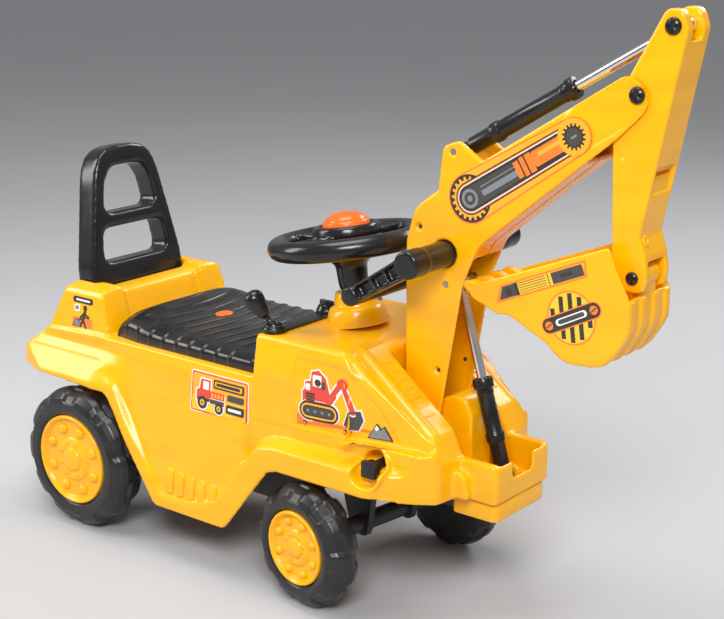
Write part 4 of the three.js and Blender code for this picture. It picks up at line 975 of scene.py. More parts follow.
def digger_art() -> list[tuple[Flat, Ink]]:
    """A red tracked digger with a grey bucket beside a mountain on orange ground."""
    ground = [(-66, -39), (60, -39), (54, -31), (30, -28), (8, -31), (-20, -29), (-46, -31),
              (-66, -26)]
    cab = [(-57, -8), (-57, 4), (-53, 8), (-53, 16), (-45, 18), (-44, 29), (-34, 32), (-24, 24),
           (-19, 6), (-19, -8)]
    boom = capsule((-19, -3), (-3, 19), 4.6)
    stick = capsule((0, 19), (15, -10), 3.2)
    bucket = [(9, -10), (24, -7), (28, -18), (22, -30), (10, -31), (2, -27)]
    rear, front = (-50, -19), (-18, -19)
    track = capsule(rear, front, 11.5)
    peak = [(35, -36), (45, -20), (50, -26), (54, -22), (63, -36)]
    layers = [(ground, Ink.ORANGE)]
    layers += [(grown(part, 1.8), Ink.WHITE) for part in (cab, boom, stick, bucket, track)]
    layers += [(part, Ink.RED) for part in (cab, boom, stick, disc(-1, 20, 7.5))]
    layers += [(disc(-1, 20, 4.6), Ink.AMBER), (disc(-1, 20, 2.0), Ink.RED),
              (slab(-42, 12, -30, 26, 1.5), Ink.WHITE),
              (disc(-35, 17, 4.4), Ink.BLACK), (slab(-30, 10, -25, 19, 1), Ink.CHARCOAL),
              (slab(-52, 6, -46, 14, 1), Ink.WHITE)]
    for i in range(3):
        layers.append((slab(-52, -3.5 + 3.6 * i - 3, -40, -1.5 + 3.6 * i - 3, 0.4), Ink.BLACK))
    layers += [(track, Ink.BLACK), (capsule(rear, front, 9.0), Ink.AMBER),
               (capsule(rear, front, 6.6), Ink.BLACK),
               (capsule((-49, -19), (-19, -19), 4.8), Ink.CHARCOAL)]
    for i in range(4):
        layers.append((disc(-49 + 10 * i, -19, 1.9, 16), Ink.GREY))
    layers += [(bucket, Ink.CHARCOAL), (grown(peak, 1.0), Ink.BLACK), (peak, Ink.GREY),
               ([(42, -25), (45, -20), (48, -24), (45, -27)], Ink.WHITE)]
    for u in (-54, 4):
        layers += [(disc(u, -35.5, 2.4, 18), Ink.BLACK), (disc(u, -35.5, 1.5, 18), Ink.AMBER)]
    return layers


def worker_art() -> list[tuple[Flat, Ink]]:
    """A plain pictogram of a digging figure under a black header bar."""
    layers = [(slab(-17, -19, 17, -5, 3), Ink.ORANGE), (slab(-17, 12, 17, 19.5, 3), Ink.BLACK),
              (slab(-12, 14.6, 12, 16.9, 1), Ink.WHITE)]
    layers.append((disc(4, 7, 3.4, 20), Ink.BLACK))
    for start, end, thick in (((4, 3), (1, -6), 2.0), ((1, -6), (6, -16), 1.5),
                              ((1, -6), (-3, -15), 1.5), ((4, 1), (10, -4), 1.2),
                              ((3, 1), (-4, -5), 1.2), ((11, -2), (-9, -9), 0.8)):
        layers.append((capsule(start, end, thick), Ink.BLACK))
    mound = [(-16, -15), (-12, -8), (-8, -7), (-4, -12), (-3, -15)]
    layers += [(grown(mound, 0.8), Ink.BLACK), (mound, Ink.GREY),
               (slab(-14, 2, -5, 10, 1), Ink.WHITE), (slab(-12.6, 4, -6.4, 8.6, 0.8), Ink.GREY)]
    return layers


def belt_art(length: float) -> list[tuple[Flat, Ink]]:
    """Two gears joined by a belt round a picture of a hydraulic cylinder."""
    a, b = (0.0, 0.0), (length, 0.0)
    layers = [(capsule(a, b, 25.5, 18.5), Ink.ORANGE), (disc(0, 0, 25.5), Ink.ORANGE),
              (capsule(a, b, 24.0, 17.0), Ink.AMBER), (disc(0, 0, 24), Ink.BLACK),
              (gear(0, 0, 18.5, 20, 3.2), Ink.AMBER), (disc(0, 0, 16.4), Ink.BLACK),
              (capsule(a, b, 16.4, 13.8), Ink.BLACK), (capsule(a, b, 15.0, 12.6), Ink.ORANGE),
              (capsule(a, b, 14.0, 11.7), Ink.WHITE), (capsule(a, b, 13.0, 10.8), Ink.BLACK),
              (capsule(a, (length * 0.45, 0), 10.6, 9.2), Ink.CHARCOAL),
              (disc(0, 0, 9.5), Ink.GREY), (disc(0, 0, 6.5), Ink.CHARCOAL),
              (disc(0, 0, 3.0), Ink.GREY), (slab(16, -5.0, 62, 5.0, 1), Ink.GREY),
              (slab(16, 1.0, 62, 4.0, 1), Ink.CHARCOAL),
              (slab(62, -8.5, 68, 8.5, 0.5), Ink.ORANGE), (slab(70, -9.5, 75, 9.5, 0.5), Ink.ORANGE),
              (slab(77, -9.5, 84, 9.5, 0.5), Ink.ORANGE),
              (slab(84, -7.0, length + 3, 8.5, 3), Ink.ORANGE),
              (slab(92, 1.2, length - 2, 5.2, 1), Ink.AMBER), (disc(length - 14, 0, 3.0, 18), Ink.RED),
              (disc(length, 0, 17.5), Ink.AMBER), (gear(length, 0, 10.2, 16, 2.6), Ink.BLACK),
              (disc(length, 0, 8.4), Ink.CHARCOAL), (slab(length - 3.5, -1, length + 3.5, 1, 0.5),
                                                   Ink.GREY)]
    return layers


def hazard_art() -> list[tuple[Flat, Ink]]:
    """A round of slanting hazard stripes crossed by a plain screwed-on bar."""
    layers = [(disc(0, 0, 26.5), Ink.ORANGE), (disc(0, 0, 24.8), Ink.GOLD)]
    for i in (-2, -1, 0, 1, 2):
        u = 10.0 * i
        half = math.sqrt(max(0.0, 24.0 ** 2 - (abs(u) + 2.4) ** 2))
        layers.append(([(u - 2.4, -half), (u + 2.4, -half), (u + 2.4, half), (u - 2.4, half)],
                       Ink.BLACK))
    a, b = (-25.0, -8.5), (25.0, 8.5)
    layers += [(capsule(a, b, 8.2), Ink.ORANGE), (capsule(a, b, 7.2), Ink.BLACK),
               (capsule((-14, -4.8), (14, 4.8), 3.4), Ink.WHITE),
               (capsule((-12.6, -4.3), (12.6, 4.3), 2.2), Ink.CHARCOAL)]
    for u, v in (a, b):
        layers += [(disc(u, v, 4.4, 20), Ink.ORANGE), (capsule((u - 2.6, v - 2), (u + 2.6, v + 2),
                                                               0.6), Ink.BLACK)]
    return layers


def band_art(length: float) -> list[tuple[Flat, Ink]]:
    """A slanted band with a dark foot, a ribbed golden sleeve and a dark head."""
    rim = [(-2, -8), (length - 2, -8), (length + 2, 8), (8, 8)]
    inner = [(2, -6.4), (length - 4, -6.4), (length - 0.6, 6.4), (9, 6.4)]
    layers = [(rim, Ink.ORANGE), (inner, Ink.AMBER),
              ([(3, -6), (24, -6), (24, 6), (10, 6)], Ink.CHARCOAL), (disc(16, -0.4, 4.2), Ink.BLACK),
              (slab(24, -6.2, 28, 6.2, 0.4), Ink.BLACK), (slab(28, -5.6, 62, 5.6, 0.6), Ink.GOLD)]
    for i in range(5):
        layers.append((slab(29, -4.7 + 2.3 * i, 61, -4.1 + 2.3 * i), Ink.BLACK))
    layers += [(slab(62, -6.2, 68, 6.2, 0.6), Ink.GOLD), (slab(63.6, -6.2, 64.6, 6.2), Ink.BLACK),
               (slab(68, -5.4, length - 4, 5.4, 0.8), Ink.CHARCOAL),
               (slab(78, -1.6, length - 16, 1.6, 0.8), Ink.BLACK)]
    return layers


# ------------------------------------------------------------------ body

@dataclass
class BodyShell:
    """The yellow body: one hollow moulding, its nose pan, hood louvres, side flutes and stickers."""

    cell: float = 2.25
    door_half: float = 104.5
    panel_half: float = 106.0
    panel_top: float = 234.0
    panel_lean: float = 0.113
    hood_run: float = 94.0
    hood_rear: float = 388.0
    hood_front: float = 482.0
    console_top: float = 281.0
    hood_drop: float = 75.0

    FRONT = ((58, 128), (182, 128), (214, 109), (234, 106), (282, 98))
    PLAN = ((-109, 110), (-60, 128), (430, 125), (492, 84), (494, 52), (560, 50))
    SKIRT = tuple(Vector(p) for p in ((-108, 179), (-20, 178), (48, 174), (127, 58), (236, 58),
                                      (300, 140), (312, 142), (440, 142), (470, 138), (548, 138)))
    DOOR = tuple(Vector(p) for p in ((318, 191), (321, 266), (403, 268), (452, 191)))

    NOSE_LOBE = ((478, 141, 2), (480, 172, 7), (508, 168, 9), (514, 141, 4))
    SKIRT_WALL = ((226, 62), (236.5, 60), (299, 140), (312, 144), (403, 144), (403, 181),
                  (250, 181), (226, 160))

    def on_panel(self, z: float) -> float:
        """Half the width of the sloping side panel at a height."""
        return self.panel_half + (self.panel_top - z) * self.panel_lean

    def plain_half(self, x: float, z: float) -> float:
        """Half the width of the CAD body at a side point."""
        half = min(stepped(z, self.FRONT), stepped(x, self.PLAN))
        if z > 192 and 388 < x < 500:
            trimmed = min(half, 100 - 20 * max(0.0, x - 392) / 90)
            half += (trimmed - half) * ease(x, 389, 395)
        return half

    def skin_half(self, x: float, z: float) -> float:
        """Half the width of the finished skin, with its fender bands and door panel."""
        plain = self.plain_half(x, z)
        spot = Vector((x, z))
        middle = min(plain, self.on_panel(z))
        front = self.door_half + 2.5 * (1 - ease(x, 272, 288)) - 5 * ease(x, 320, 390)
        front = min(plain, front)
        rear = plain - 2.6 * hill(z, 221, 7) + 1.2 * hill(z, 204, 6)
        panel = middle + (front - middle) * ease(x, 255, 266)
        fender = 1 - ease(x, 22, 88)
        panel = panel + (rear - panel) * fender
        start = 12 + 14 * ease(x, 170, 235)
        inside = ease(to_line(spot, self.SKIRT), start, start + 8)
        half = plain + (panel - plain) * max(inside, fender)
        half -= 1.7 * ease(inside_depth(spot, self.DOOR), -0.5, 2.6)
        return half

    def mould(self, point: Vector) -> Vector:
        """Moves a point of the plain shell to where the finished moulding has it."""
        x, y, z = point
        plain = self.plain_half(x, z)
        share = ease(abs(y), plain * 0.6, plain * 0.88)
        if share > 0 and z < 282:
            y -= math.copysign((plain - self.skin_half(x, z)) * share, y)
        slope = self.console_top - self.hood_drop * max(0.0, x - self.hood_rear) / self.hood_run
        if self.hood_rear - 12 < x < self.hood_front + 6 and z > slope - 26:
            near = ease(z, slope - 26, slope - 9) * ease(x, 380, 396)
            side = abs(point.y)
            drop = 5.5 * ease(side, 73, 78) + 5.0 * ease(side, 92, 96)
            crest = 1.6 * hill(side, 71, 3.4) + 1.6 * hill(side, 89, 3.0)
            z -= (drop - crest) * near * ease(self.hood_front + 4 - x, 0, 10)
        return Vector((x, y, z))

    def shell(self, bench: Bench) -> bmesh.types.BMesh:
        """The main moulding with its nose lobes and stiffer skirt walls."""
        raw = bench.copy_of("body_shell")
        for sign in (-1, 1):
            add_shape(raw, prism(self.NOSE_LOBE, *sided(sign, 46.0, 61.0), Facing.SIDE, 4.0))
            add_shape(raw, prism(self.SKIRT_WALL, *sided(sign, 120.6, 125.2), Facing.SIDE))
        return reshape(fused(raw, self.cell, 3), self.mould)

    def build(self, bench: Bench) -> None:
        """Makes the shell, pan and trim."""
        shell = self.shell(bench)
        thin_hidden(shell, 60.0, 6.0)
        bench.piece("moulded_body_shell", shell, "chassis", "yellow", ["body_shell"], crease=60)
        pan = prism([(484, -46, 4), (538, -46, 8), (538, 46, 8), (484, 46, 4)], 118.2, 137.6,
                    Facing.PLAN, 2.2)
        bench.piece("moulded_lower_pan", pan, "chassis", "yellow", ["lower_pan"], crease=34)
        self.louvres(bench)
        self.flutes(bench)
        self.stickers(bench)

    def flutes(self, bench: Bench) -> None:
        """Six arch-topped ribs low on each side panel."""
        for side, sign in SIDES:
            shape = bmesh.new()
            for i in range(6):
                x, top = 151 + 16.4 * i, 107 - 0.8 * i
                add_shape(shape, prism([(x - 5.6, 78, 2.5), (x + 5.6, 78, 2.5), (x + 5.6, top, 5.4),
                                        (x - 5.6, top, 5.4)], -1.6, 2.0, Facing.SIDE, 1.9, 4))

            def onto_panel(p: Vector) -> Vector:
                """Lays a rib point on the sloping panel."""
                return Vector((p.x, sign * (self.on_panel(p.z) + p.y), p.z))

            reshape(shape, onto_panel)
            bmesh.ops.recalc_face_normals(shape, faces=shape.faces)
            bench.piece(f"panel_flutes_{side}", shape, "chassis", "yellow", crease=50)

    def louvres(self, bench: Bench) -> None:
        """Shallow bars along both hood slopes, in place of raised lettering."""
        shape = bmesh.new()
        run = math.hypot(self.hood_run, self.hood_drop)
        along = Vector((self.hood_run, 0, -self.hood_drop)) / run
        up = Vector((self.hood_drop, 0, self.hood_run)) / run
        for sign in (-1, 1):
            for i in range(7):
                bar = prism([(-1.4, -8, 1.2), (1.4, -8, 1.2), (1.4, 8, 1.2), (-1.4, 8, 1.2)],
                            -1.6, 0.75, Facing.PLAN, 0.5, 3)
                spot = Vector((self.hood_rear, sign * 56, self.console_top)) + along * (24 + 12 * i)
                turn = Matrix((along, LEFT, up)).transposed().to_4x4()
                bmesh.ops.transform(bar, matrix=Matrix.Translation(spot) @ turn, verts=bar.verts)
                add_shape(shape, bar)
        bench.piece("hood_louvres", shape, "chassis", "yellow", crease=34)

    def stickers(self, bench: Bench) -> None:
        """The truck panel, the digger picture and the worker pictogram on both sides."""
        for side, sign in SIDES:
            def on_skin(u: float, v: float, h: float, middle: tuple[float, float], size: float
                        ) -> Vector:
                """A point on the body's side, near a middle point."""
                x, z = middle[0] + u * size, middle[1] + v * size
                return Vector((x, sign * (self.skin_half(x, z) + h + 0.4), z))

            Film(f"truck_sticker_{side}", "chassis", truck_art()).build(
                bench, lambda u, v, h: on_skin(u, v, h, (219, 203), 1.0))
            Film(f"digger_sticker_{side}", "chassis", digger_art()).build(
                bench, lambda u, v, h: on_skin(u, v, h + 1.3 * hill(u, 10.5, 7.5), (383, 229),
                                               0.88))
            Film(f"worker_sticker_{side}", "chassis", worker_art()).build(
                bench, lambda u, v, h: Vector((-8 + u, sign * (104 - (34 + v) * 0.109 + h),
                                               254 + v)))


@dataclass
class Saddle:
    """The black seat with its crown, curved grooves, side ribs and orange badge."""

    rear: float = 41.2
    front: float = 261.6
    floor: float = 234.5
    half: float = 96.4
    groove_count: int = 10
    groove_pitch: float = 19.0
    groove_first: float = 66.0
    rib_count: int = 9
    rib_pitch: float = 20.5
    rib_first: float = 58.0

    RISE = ((41, 0.1), (41.6, 9), (43, 17), (46, 23), (52, 28), (62, 30.5), (74, 29), (95, 24),
            (120, 20.8), (200, 20.2), (252, 19.4), (257, 17.5), (260, 13), (261.2, 6), (262, 0.1))

    def surface(self, s: float, t: float) -> Vector:
        """The place of a surface point.

        Args:
            s: 0 at the rear end and 1 at the front end.
            t: -1 at the right edge, 0 on top and 1 at the left edge.

        Returns:
            The point.
        """
        x = self.rear + (self.front - self.rear) * s
        rise = stepped(x, self.RISE)
        angle = t * math.pi / 2
        wide = math.copysign(abs(math.sin(angle)) ** 0.62, t)
        tall = max(0.0, math.cos(angle)) ** 0.42
        y = self.half * wide * (0.955 + 0.045 * ease(x, 44, 90))
        z = self.floor + rise * tall
        on_top = ease(78 - abs(y), 0, 6)
        bend = 13.0 * (y / 75) ** 2
        step = (x + bend - self.groove_first) / self.groove_pitch
        if -0.4 < step < self.groove_count - 0.4:
            off = (step + 0.5) % 1.0 - 0.5
            z -= 1.9 * hill(off * self.groove_pitch, 0, 1.35) * on_top
            z += 0.7 * on_top * (1 - abs(off) * 2)
        row = (x - self.rib_first) / self.rib_pitch
        if -0.4 < row < self.rib_count - 0.4 and 80 < abs(y):
            off = ((row + 0.5) % 1.0 - 0.5) * self.rib_pitch
            bump = 1.5 * hill(off, 0, 1.5) * ease(z, 238, 241) * ease(254 - z, 0, 4)
            y += math.copysign(bump * 0.6, y)
            z += bump * 0.8
        return Vector((x, y, z))

    def build(self, bench: Bench) -> None:
        """Makes the seat skin, closes it underneath, and adds the badge."""
        shape = bmesh.new()
        bmesh.ops.create_grid(shape, x_segments=260, y_segments=110, size=1.0)
        reshape(shape, lambda p: self.surface((p.x + 1) / 2, p.y))
        bmesh.ops.remove_doubles(shape, verts=shape.verts, dist=0.002)
        rim = [e for e in shape.edges if e.is_boundary]
        bmesh.ops.holes_fill(shape, edges=rim, sides=0)
        bmesh.ops.recalc_face_normals(shape, faces=shape.faces)
        bench.piece("moulded_seat", shape, "chassis", "black", ["seat"], crease=70)
        badge = bmesh.new()
        bmesh.ops.create_uvsphere(badge, u_segments=32, v_segments=12, radius=1.0)
        bmesh.ops.scale(badge, vec=(9.0, 12.0, 2.0), verts=badge.verts)
        bmesh.ops.translate(badge, vec=(124, 0, 255.7), verts=badge.verts)
        bench.piece("seat_badge", badge, "chassis", "orange", ["seat_oval"])


@dataclass
class Backrest:
    """The black hand-hold frame behind the seat."""

    cell: float = 1.7

    def build(self, bench: Bench) -> None:
        """Rounds the frame into one thick moulding with soft slot edges."""
        shape = fused(bench.copy_of("backrest"), self.cell, 26)
        bench.piece("moulded_backrest", shape, "chassis", "black", ["backrest"], crease=60)


# ------------------------------------------------------------------ controls

@dataclass
class SteeringColumn:
    """The collar, wheel and horn on the tilted column."""

    base: Vector
    tilt: float = math.radians(9.0)
    rim_radius: float = 76.0
    rim_section: float = 11.6
    height: float = 86.0
    heading: float = math.radians(-8.0)
    horn_radius: float = 25.8

    @property
    def axis(self) -> Vector:
        """The direction of the column."""
        return Vector((-math.sin(self.tilt), 0, math.cos(self.tilt)))

    def stand(self, shape: bmesh.types.BMesh, turn: float = 0.0) -> bmesh.types.BMesh:
        """Puts a shape made about +z onto the column."""
        lean = Matrix.Rotation(-self.tilt, 4, "Y") @ Matrix.Rotation(turn, 4, "Z")
        bmesh.ops.transform(shape, matrix=Matrix.Translation(self.base) @ lean, verts=shape.verts)
        return shape

    def collar(self) -> bmesh.types.BMesh:
        """The yellow two-step neck with its seam."""
        profile = [(7, -4), (34.6, -4), (33.9, 0), (32.2, 7), (30.4, 12.2), (28.4, 15.2),
                   (25.6, 16.6), (24.0, 17.2), (23.4, 18.4), (22.4, 27), (21.6, 30.4),
                   (20.2, 31.8), (7, 31.8)]
        return turned(profile, self.base, self.axis, 72)

    def wheel(self) -> bmesh.types.BMesh:
        """The rim, three webbed spokes and the flared hub, grown into one."""
        hub = [(6.4, 33.2), (15, 33.2), (16.2, 40), (17.4, 60), (28, 71), (31.6, 82), (37.4, 91),
               (37.8, 96), (36, 103), (33, 104.6), (28.4, 104.6), (27.6, 96), (9, 96), (9, 74),
               (6.4, 74)]
        shape = turned(hub, ORIGIN, UP, 64)
        rim = bmesh.new()
        bmesh.ops.create_circle(rim, segments=20, radius=self.rim_section)
        bmesh.ops.rotate(rim, cent=ORIGIN, matrix=Matrix.Rotation(math.pi / 2, 3, "X"),
                         verts=rim.verts)
        bmesh.ops.translate(rim, vec=(self.rim_radius, 0, 0), verts=rim.verts)
        spun(rim, 96)
        bmesh.ops.recalc_face_normals(rim, faces=rim.faces)
        bmesh.ops.translate(rim, vec=(0, 0, self.height), verts=rim.verts)
        add_shape(shape, rim)
        for angle in (90, 180, 270):
            plate = prism([(28, -13, 2), (70, -16, 2), (70, 16, 2), (28, 13, 2)],
                          self.height + 1.0, self.height + 6.0, Facing.PLAN, 1.0)
            for y in (-13.5, 13.5):
                add_shape(plate, prism([(30, y - 2.2), (68, y - 2.2 + math.copysign(1.5, y)),
                                        (68, y + 2.2 + math.copysign(1.5, y)), (30, y + 2.2)],
                                       self.height - 1.0, self.height + 8.6, Facing.PLAN))
            bmesh.ops.rotate(plate, cent=ORIGIN, verts=plate.verts,
                             matrix=Matrix.Rotation(math.radians(angle), 3, "Z"))
            add_shape(shape, plate)
        shape = fused(shape, 1.5, 4)
        return self.stand(shape, self.heading)

    def horn(self) -> bmesh.types.BMesh:
        """The orange button with a stepped edge."""
        r = self.horn_radius
        profile = [(0, 100.2), (r, 100.2), (r, 106.4), (r - 0.6, 107.6), (r - 2.6, 108.6),
                   (r - 3.4, 110.4), (r - 7, 113.4), (r - 13, 116.2), (r - 20, 117.5), (0, 117.9)]
        return turned(profile, self.base, self.axis, 64)

    def build(self, bench: Bench) -> None:
        """Hands over the collar, the wheel and the horn."""
        bench.piece("moulded_neck_collar", self.collar(), "chassis", "yellow", ["neck_collar"], 34)
        bench.piece("moulded_steering_wheel", self.wheel(), "column", "black", ["steering_wheel"],
                    crease=60)
        bench.piece("moulded_horn_button", self.horn(), "horn", "orange", ["horn_button"])


@dataclass
class ConsoleControls:
    """The black strip, gear lever and dash knob at the rear edge of the console."""

    lever: Vector
    strip_rear: float = 265.0
    strip_front: float = 288.0
    strip_half: float = 94.0
    strip_low: float = 281.3
    strip_high: float = 283.5
    seat_height: float = 283.8
    knob_y: float = 5.0

    def build(self, bench: Bench) -> None:
        """Hands over the strip, the lever with its bellows, and the knob."""
        a, b, w = self.strip_rear, self.strip_front, self.strip_half
        strip = prism([(a, -w, 5), (b, -w, 8), (b, w, 8), (a, w, 5)], self.strip_low,
                      self.strip_high, Facing.PLAN, 0.8)
        bench.piece("trim_strip", strip, "chassis", "black", ["console_strip"], 34)
        foot = Vector((self.lever.x, self.lever.y, self.seat_height))
        base = [(8.3, 0), (14, 0), (14, 1.2), (13, 2), (12.6, 3.2), (11, 3.6), (10.4, 4.8),
                (8.3, 4.9)]
        bench.piece("lever_bellows", turned(base, foot, UP, 40),
                    "chassis", "black", ["lever_base"], 50)
        stalk = [(0, -7), (5, -5), (6.8, 0), (5, 4.6), (3.1, 8), (3.0, 13), (3.6, 14.4), (5.8, 16),
                 (7.2, 19), (8.2, 24), (9.8, 29), (11.1, 34), (11.4, 37.4), (10.6, 41), (8.6, 43.8),
                 (5.4, 45.7), (2.4, 46.4), (0, 46.5)]
        lean = Vector((-20, -9, 29))
        bench.piece("pear_gear_lever", turned(stalk, self.lever, lean, 48), "gear_stick", "black",
                    ["gear_lever"], 70)
        knob = turned([(0, 0), (12, 0), (12, 2.4), (11.4, 3.4), (9.4, 7.4), (8, 8.8), (5, 10.2),
                       (0, 10.8)], Vector((self.lever.x, self.knob_y, self.seat_height)), UP, 40)
        add_shape(knob, prism([(266.4, 3.2, 1.6), (285.6, 3.2, 1.6), (285.6, 6.8, 1.6),
                               (266.4, 6.8, 1.6)], 287, 296.8, Facing.PLAN, 1.2))
        bench.piece("dash_turn_knob", knob, "dash_control", "black", ["dash_knob"], 34)


# ------------------------------------------------------------------ digging arm

@dataclass
class DiggingArm:
    """Boom, stick and bucket with their pins, screws and stickers."""

    pivot: tuple[float, float] = (430.0, 172.0)
    elbow: tuple[float, float] = (662.0, 557.0)
    boom_half: float = 27.0
    stick_top: tuple[float, float] = (692.0, 619.0)
    stick_half: float = 22.5
    bucket_pivot: tuple[float, float] = (664.0, 389.0)
    bucket_half: float = 40.0
    boom_screws: tuple[tuple[float, float], ...] = ((449, 258), (424, 405))
    stick_dents: tuple[tuple[float, float], ...] = ((647, 500), (672, 440))
    belt_low: tuple[float, float] = (486.0, 442.0)
    belt_high: tuple[float, float] = (600.0, 514.0)

    def cheek(self, point: Vector) -> Vector:
        """Cuts the line round the elbow tongue and the dents of the closing screws."""
        if abs(point.y) < self.boom_half - 1.6:
            return point
        spot = Vector((point.x, point.z))
        ring = to_segment(spot, Vector((604, 521)), Vector(self.elbow))
        depth = 0.7 * hill(ring, 19.8, 1.7)
        depth += 1.1 * ease(19.8 - ring, 0, 1.6) * ease(spot.x, 596, 599)
        for hole in self.boom_screws:
            depth += 3.2 * ease(4.4 - (spot - Vector(hole)).length, 0, 1.6)
        return Vector((point.x, math.copysign(abs(point.y) - depth, point.y), point.z))

    def boom(self, bench: Bench) -> None:
        """Both boom halves with a seam between them, and their stickers."""
        for side in ("left", "right"):
            name = f"boom_{side}"
            half = reshape(fused(bench.copy_of(name), 1.45, 3), self.cheek)
            thin_hidden(half, 60.0, 5.0)
            bench.piece(f"moulded_{name}", half, "boom", "yellow", [name], crease=60)
        run = Vector(self.belt_high) - Vector(self.belt_low)
        turn = math.atan2(run.y, run.x)
        for side, sign in SIDES:
            def on_cheek(u: float, v: float, h: float) -> Vector:
                """A point on the boom's cheek, measured from the large gear."""
                x = self.belt_low[0] + u * math.cos(turn) - v * math.sin(turn)
                z = self.belt_low[1] + u * math.sin(turn) + v * math.cos(turn)
                return Vector((x, sign * (self.boom_half + h), z))

            Film(f"belt_sticker_{side}", "boom", belt_art(run.length)).build(bench, on_cheek)
            screws = bmesh.new()
            for x, z in self.boom_screws:
                seat = Vector((x, sign * (self.boom_half - 3.6), z))
                add_shape(screws, dome_screw(seat, LEFT * sign, 2.3))
            bench.piece(f"boom_screws_{side}", screws, "boom", "dark")

    def stick_side(self, point: Vector) -> Vector:
        """Cuts the screw dents of the stick."""
        if abs(point.y) < self.stick_half - 1.4:
            return point
        spot = Vector((point.x, point.z))
        depth = 0.0
        for hole in self.stick_dents:
            depth += 1.4 * ease(3.6 - (spot - Vector(hole)).length, 0, 1.6)
        return Vector((point.x, math.copysign(abs(point.y) - depth, point.y), point.z))

    def stick(self, bench: Bench) -> None:
        """The stick and its domed top pin."""
        shape = reshape(fused(bench.copy_of("stick"), 1.35, 3), self.stick_side)
        boss = turned([(2.4, -4), (5.4, -4), (5.4, 0.4), (4.6, 1.1), (3.2, 1.1), (2.4, 0)],
                      Vector((671, -13, 424)), Vector((1, 0, 0.45)), 32)
        add_shape(shape, boss)
        thin_hidden(shape, 40.0, 5.0)
        bench.piece("moulded_stick", shape, "stick_arm", "yellow", ["stick"], crease=60)
        half = self.stick_half
        pin = domed_pin(self.stick_top, half + 0.8, 2.9, half + 0.2, 7.9)
        bench.piece("top_pin_domed", pin, "stick_arm", "black", ["stick_top_pin"])
        for side, sign in SIDES:
            ring = crossbar(self.stick_top, *sided(sign, 5.9, 9.1), 7.4, 0.5)
            bench.piece(f"bright_spacer_{side}", ring, "stick_arm", "chrome",
                        [f"pin_spacer_{side}"])

    def bucket(self, bench: Bench) -> None:
        """The bucket with its teeth and ribs, pin, band and hazard round."""
        raw = bench.copy_of("bucket")
        for y in (-34, -11.5, 11.5, 34):
            add_shape(raw, prism([(487, 356.6, 2), (489, 361.6, 2.2), (497, 363.5, 5), (528, 352),
                                  (530, 337), (504, 343.5, 4)], y - 5.8, y + 5.8, Facing.SIDE))
        shape = fused(raw, 1.3, 2)
        bench.piece("moulded_bucket", shape, "digger_bucket", "yellow", ["bucket"], crease=60)
        half = self.stick_half
        pin = domed_pin(self.bucket_pivot, half + 0.9, 3.4, half + 0.3, 6.3)
        bench.piece("bucket_pin_domed", pin, "digger_bucket", "black", ["bucket_pin"])
        start, end = Vector((527, 354)), Vector((626, 396))
        run = end - start
        turn = math.atan2(run.y, run.x)
        for side, sign in SIDES:
            def on_side(u: float, v: float, h: float, at: Vector, angle: float) -> Vector:
                """A point on the bucket's side, measured from a turned corner."""
                a = at.x + u * math.cos(angle) - v * math.sin(angle)
                b = at.y + u * math.sin(angle) + v * math.cos(angle)
                return Vector((a, sign * (self.bucket_half + h), b))

            Film(f"bucket_band_{side}", "digger_bucket", band_art(run.length)).build(
                bench, lambda u, v, h: on_side(u, v, h, start, turn))
            Film(f"hazard_round_{side}", "digger_bucket", hazard_art()).build(
                bench, lambda u, v, h: on_side(u, v, h, Vector((612, 346)), math.radians(8)))

    def pins(self, bench: Bench) -> None:
        """The square-headed boom pin and the elbow screw."""
        x, z = self.pivot
        peg = crossbar((x, z), -108, 111.8, 5.9)
        head = prism([(x - 8.8, z - 8.8, 1.6), (x + 8.8, z - 8.8, 1.6), (x + 8.8, z + 8.8, 1.6),
                      (x - 8.8, z + 8.8, 1.6)], -117.8, -111.5, Facing.SIDE, 1.2)
        add_shape(peg, head, crossbar((x, z), -110.6, -108.4, 9.4, 0.5),
                  crossbar((x, z), -113, -107, 6.8, 0.4))
        bench.piece("square_pivot_peg", peg, "chassis", "black", ["boom_pivot_pin"], 34)
        bench.piece("elbow_bolt", domed_pin(self.elbow, 26.2, 4.4, 26.2, 7.8), "boom", "black",
                    ["elbow_pin"])

    def build(self, bench: Bench) -> None:
        """Builds the whole arm."""
        self.boom(bench)
        self.stick(bench)
        self.bucket(bench)
        self.pins(bench)


@dataclass
class DiggingHandle:
    """The black hand lever: cross tube, two ribbed arms and the grip bar."""

    axis: tuple[float, float] = (456.0, 382.0)
    grip: tuple[float, float] = (385.0, 339.0)
    half: float = 94.0
    tube: float = 13.4
    cap: float = 14.5
    bar: float = 10.4

    def build(self, bench: Bench) -> None:
        """Hands over the lever as one moulding."""
        shape = crossbar(self.axis, -self.half + 1, self.half - 1, self.tube)
        add_shape(shape, crossbar(self.grip, -self.half + 0.6, self.half - 0.6, self.bar, 3.0))
        a, b = Vector(self.axis), Vector(self.grip)
        along = (b - a).normalized()
        across = Vector((-along.y, along.x))
        for sign in (-1, 1):
            add_shape(shape, crossbar(self.axis, *sided(sign, 67.0, self.half - 0.8), self.cap, 2.2))
            for lift, y0, y1, thick in ((0.0, 75, 82, 17.0), (9.2, 67, 89, 3.2),
                                        (-9.2, 67, 89, 3.2)):
                far = lift * 0.72
                corners = [a + across * (lift + thick / 2), a + across * (lift - thick / 2),
                           b + across * (far - thick / 2.6), b + across * (far + thick / 2.6)]
                add_shape(shape, prism([tuple(c) for c in corners], *sided(sign, y0, y1),
                                       Facing.SIDE))
            for share in (0.38, 0.62):
                spot = a + (b - a) * share
                corners = [spot + across * 8 + along * 1.6, spot - across * 8 + along * 1.6,
                           spot - across * 8 - along * 1.6, spot + across * 8 - along * 1.6]
                add_shape(shape, prism([tuple(c) for c in corners], *sided(sign, 67.0, 89.0),
                                       Facing.SIDE))
        bench.piece("moulded_handle", fused(shape, 1.5, 2), "handle", "black", ["handle_frame"],
                    crease=60)


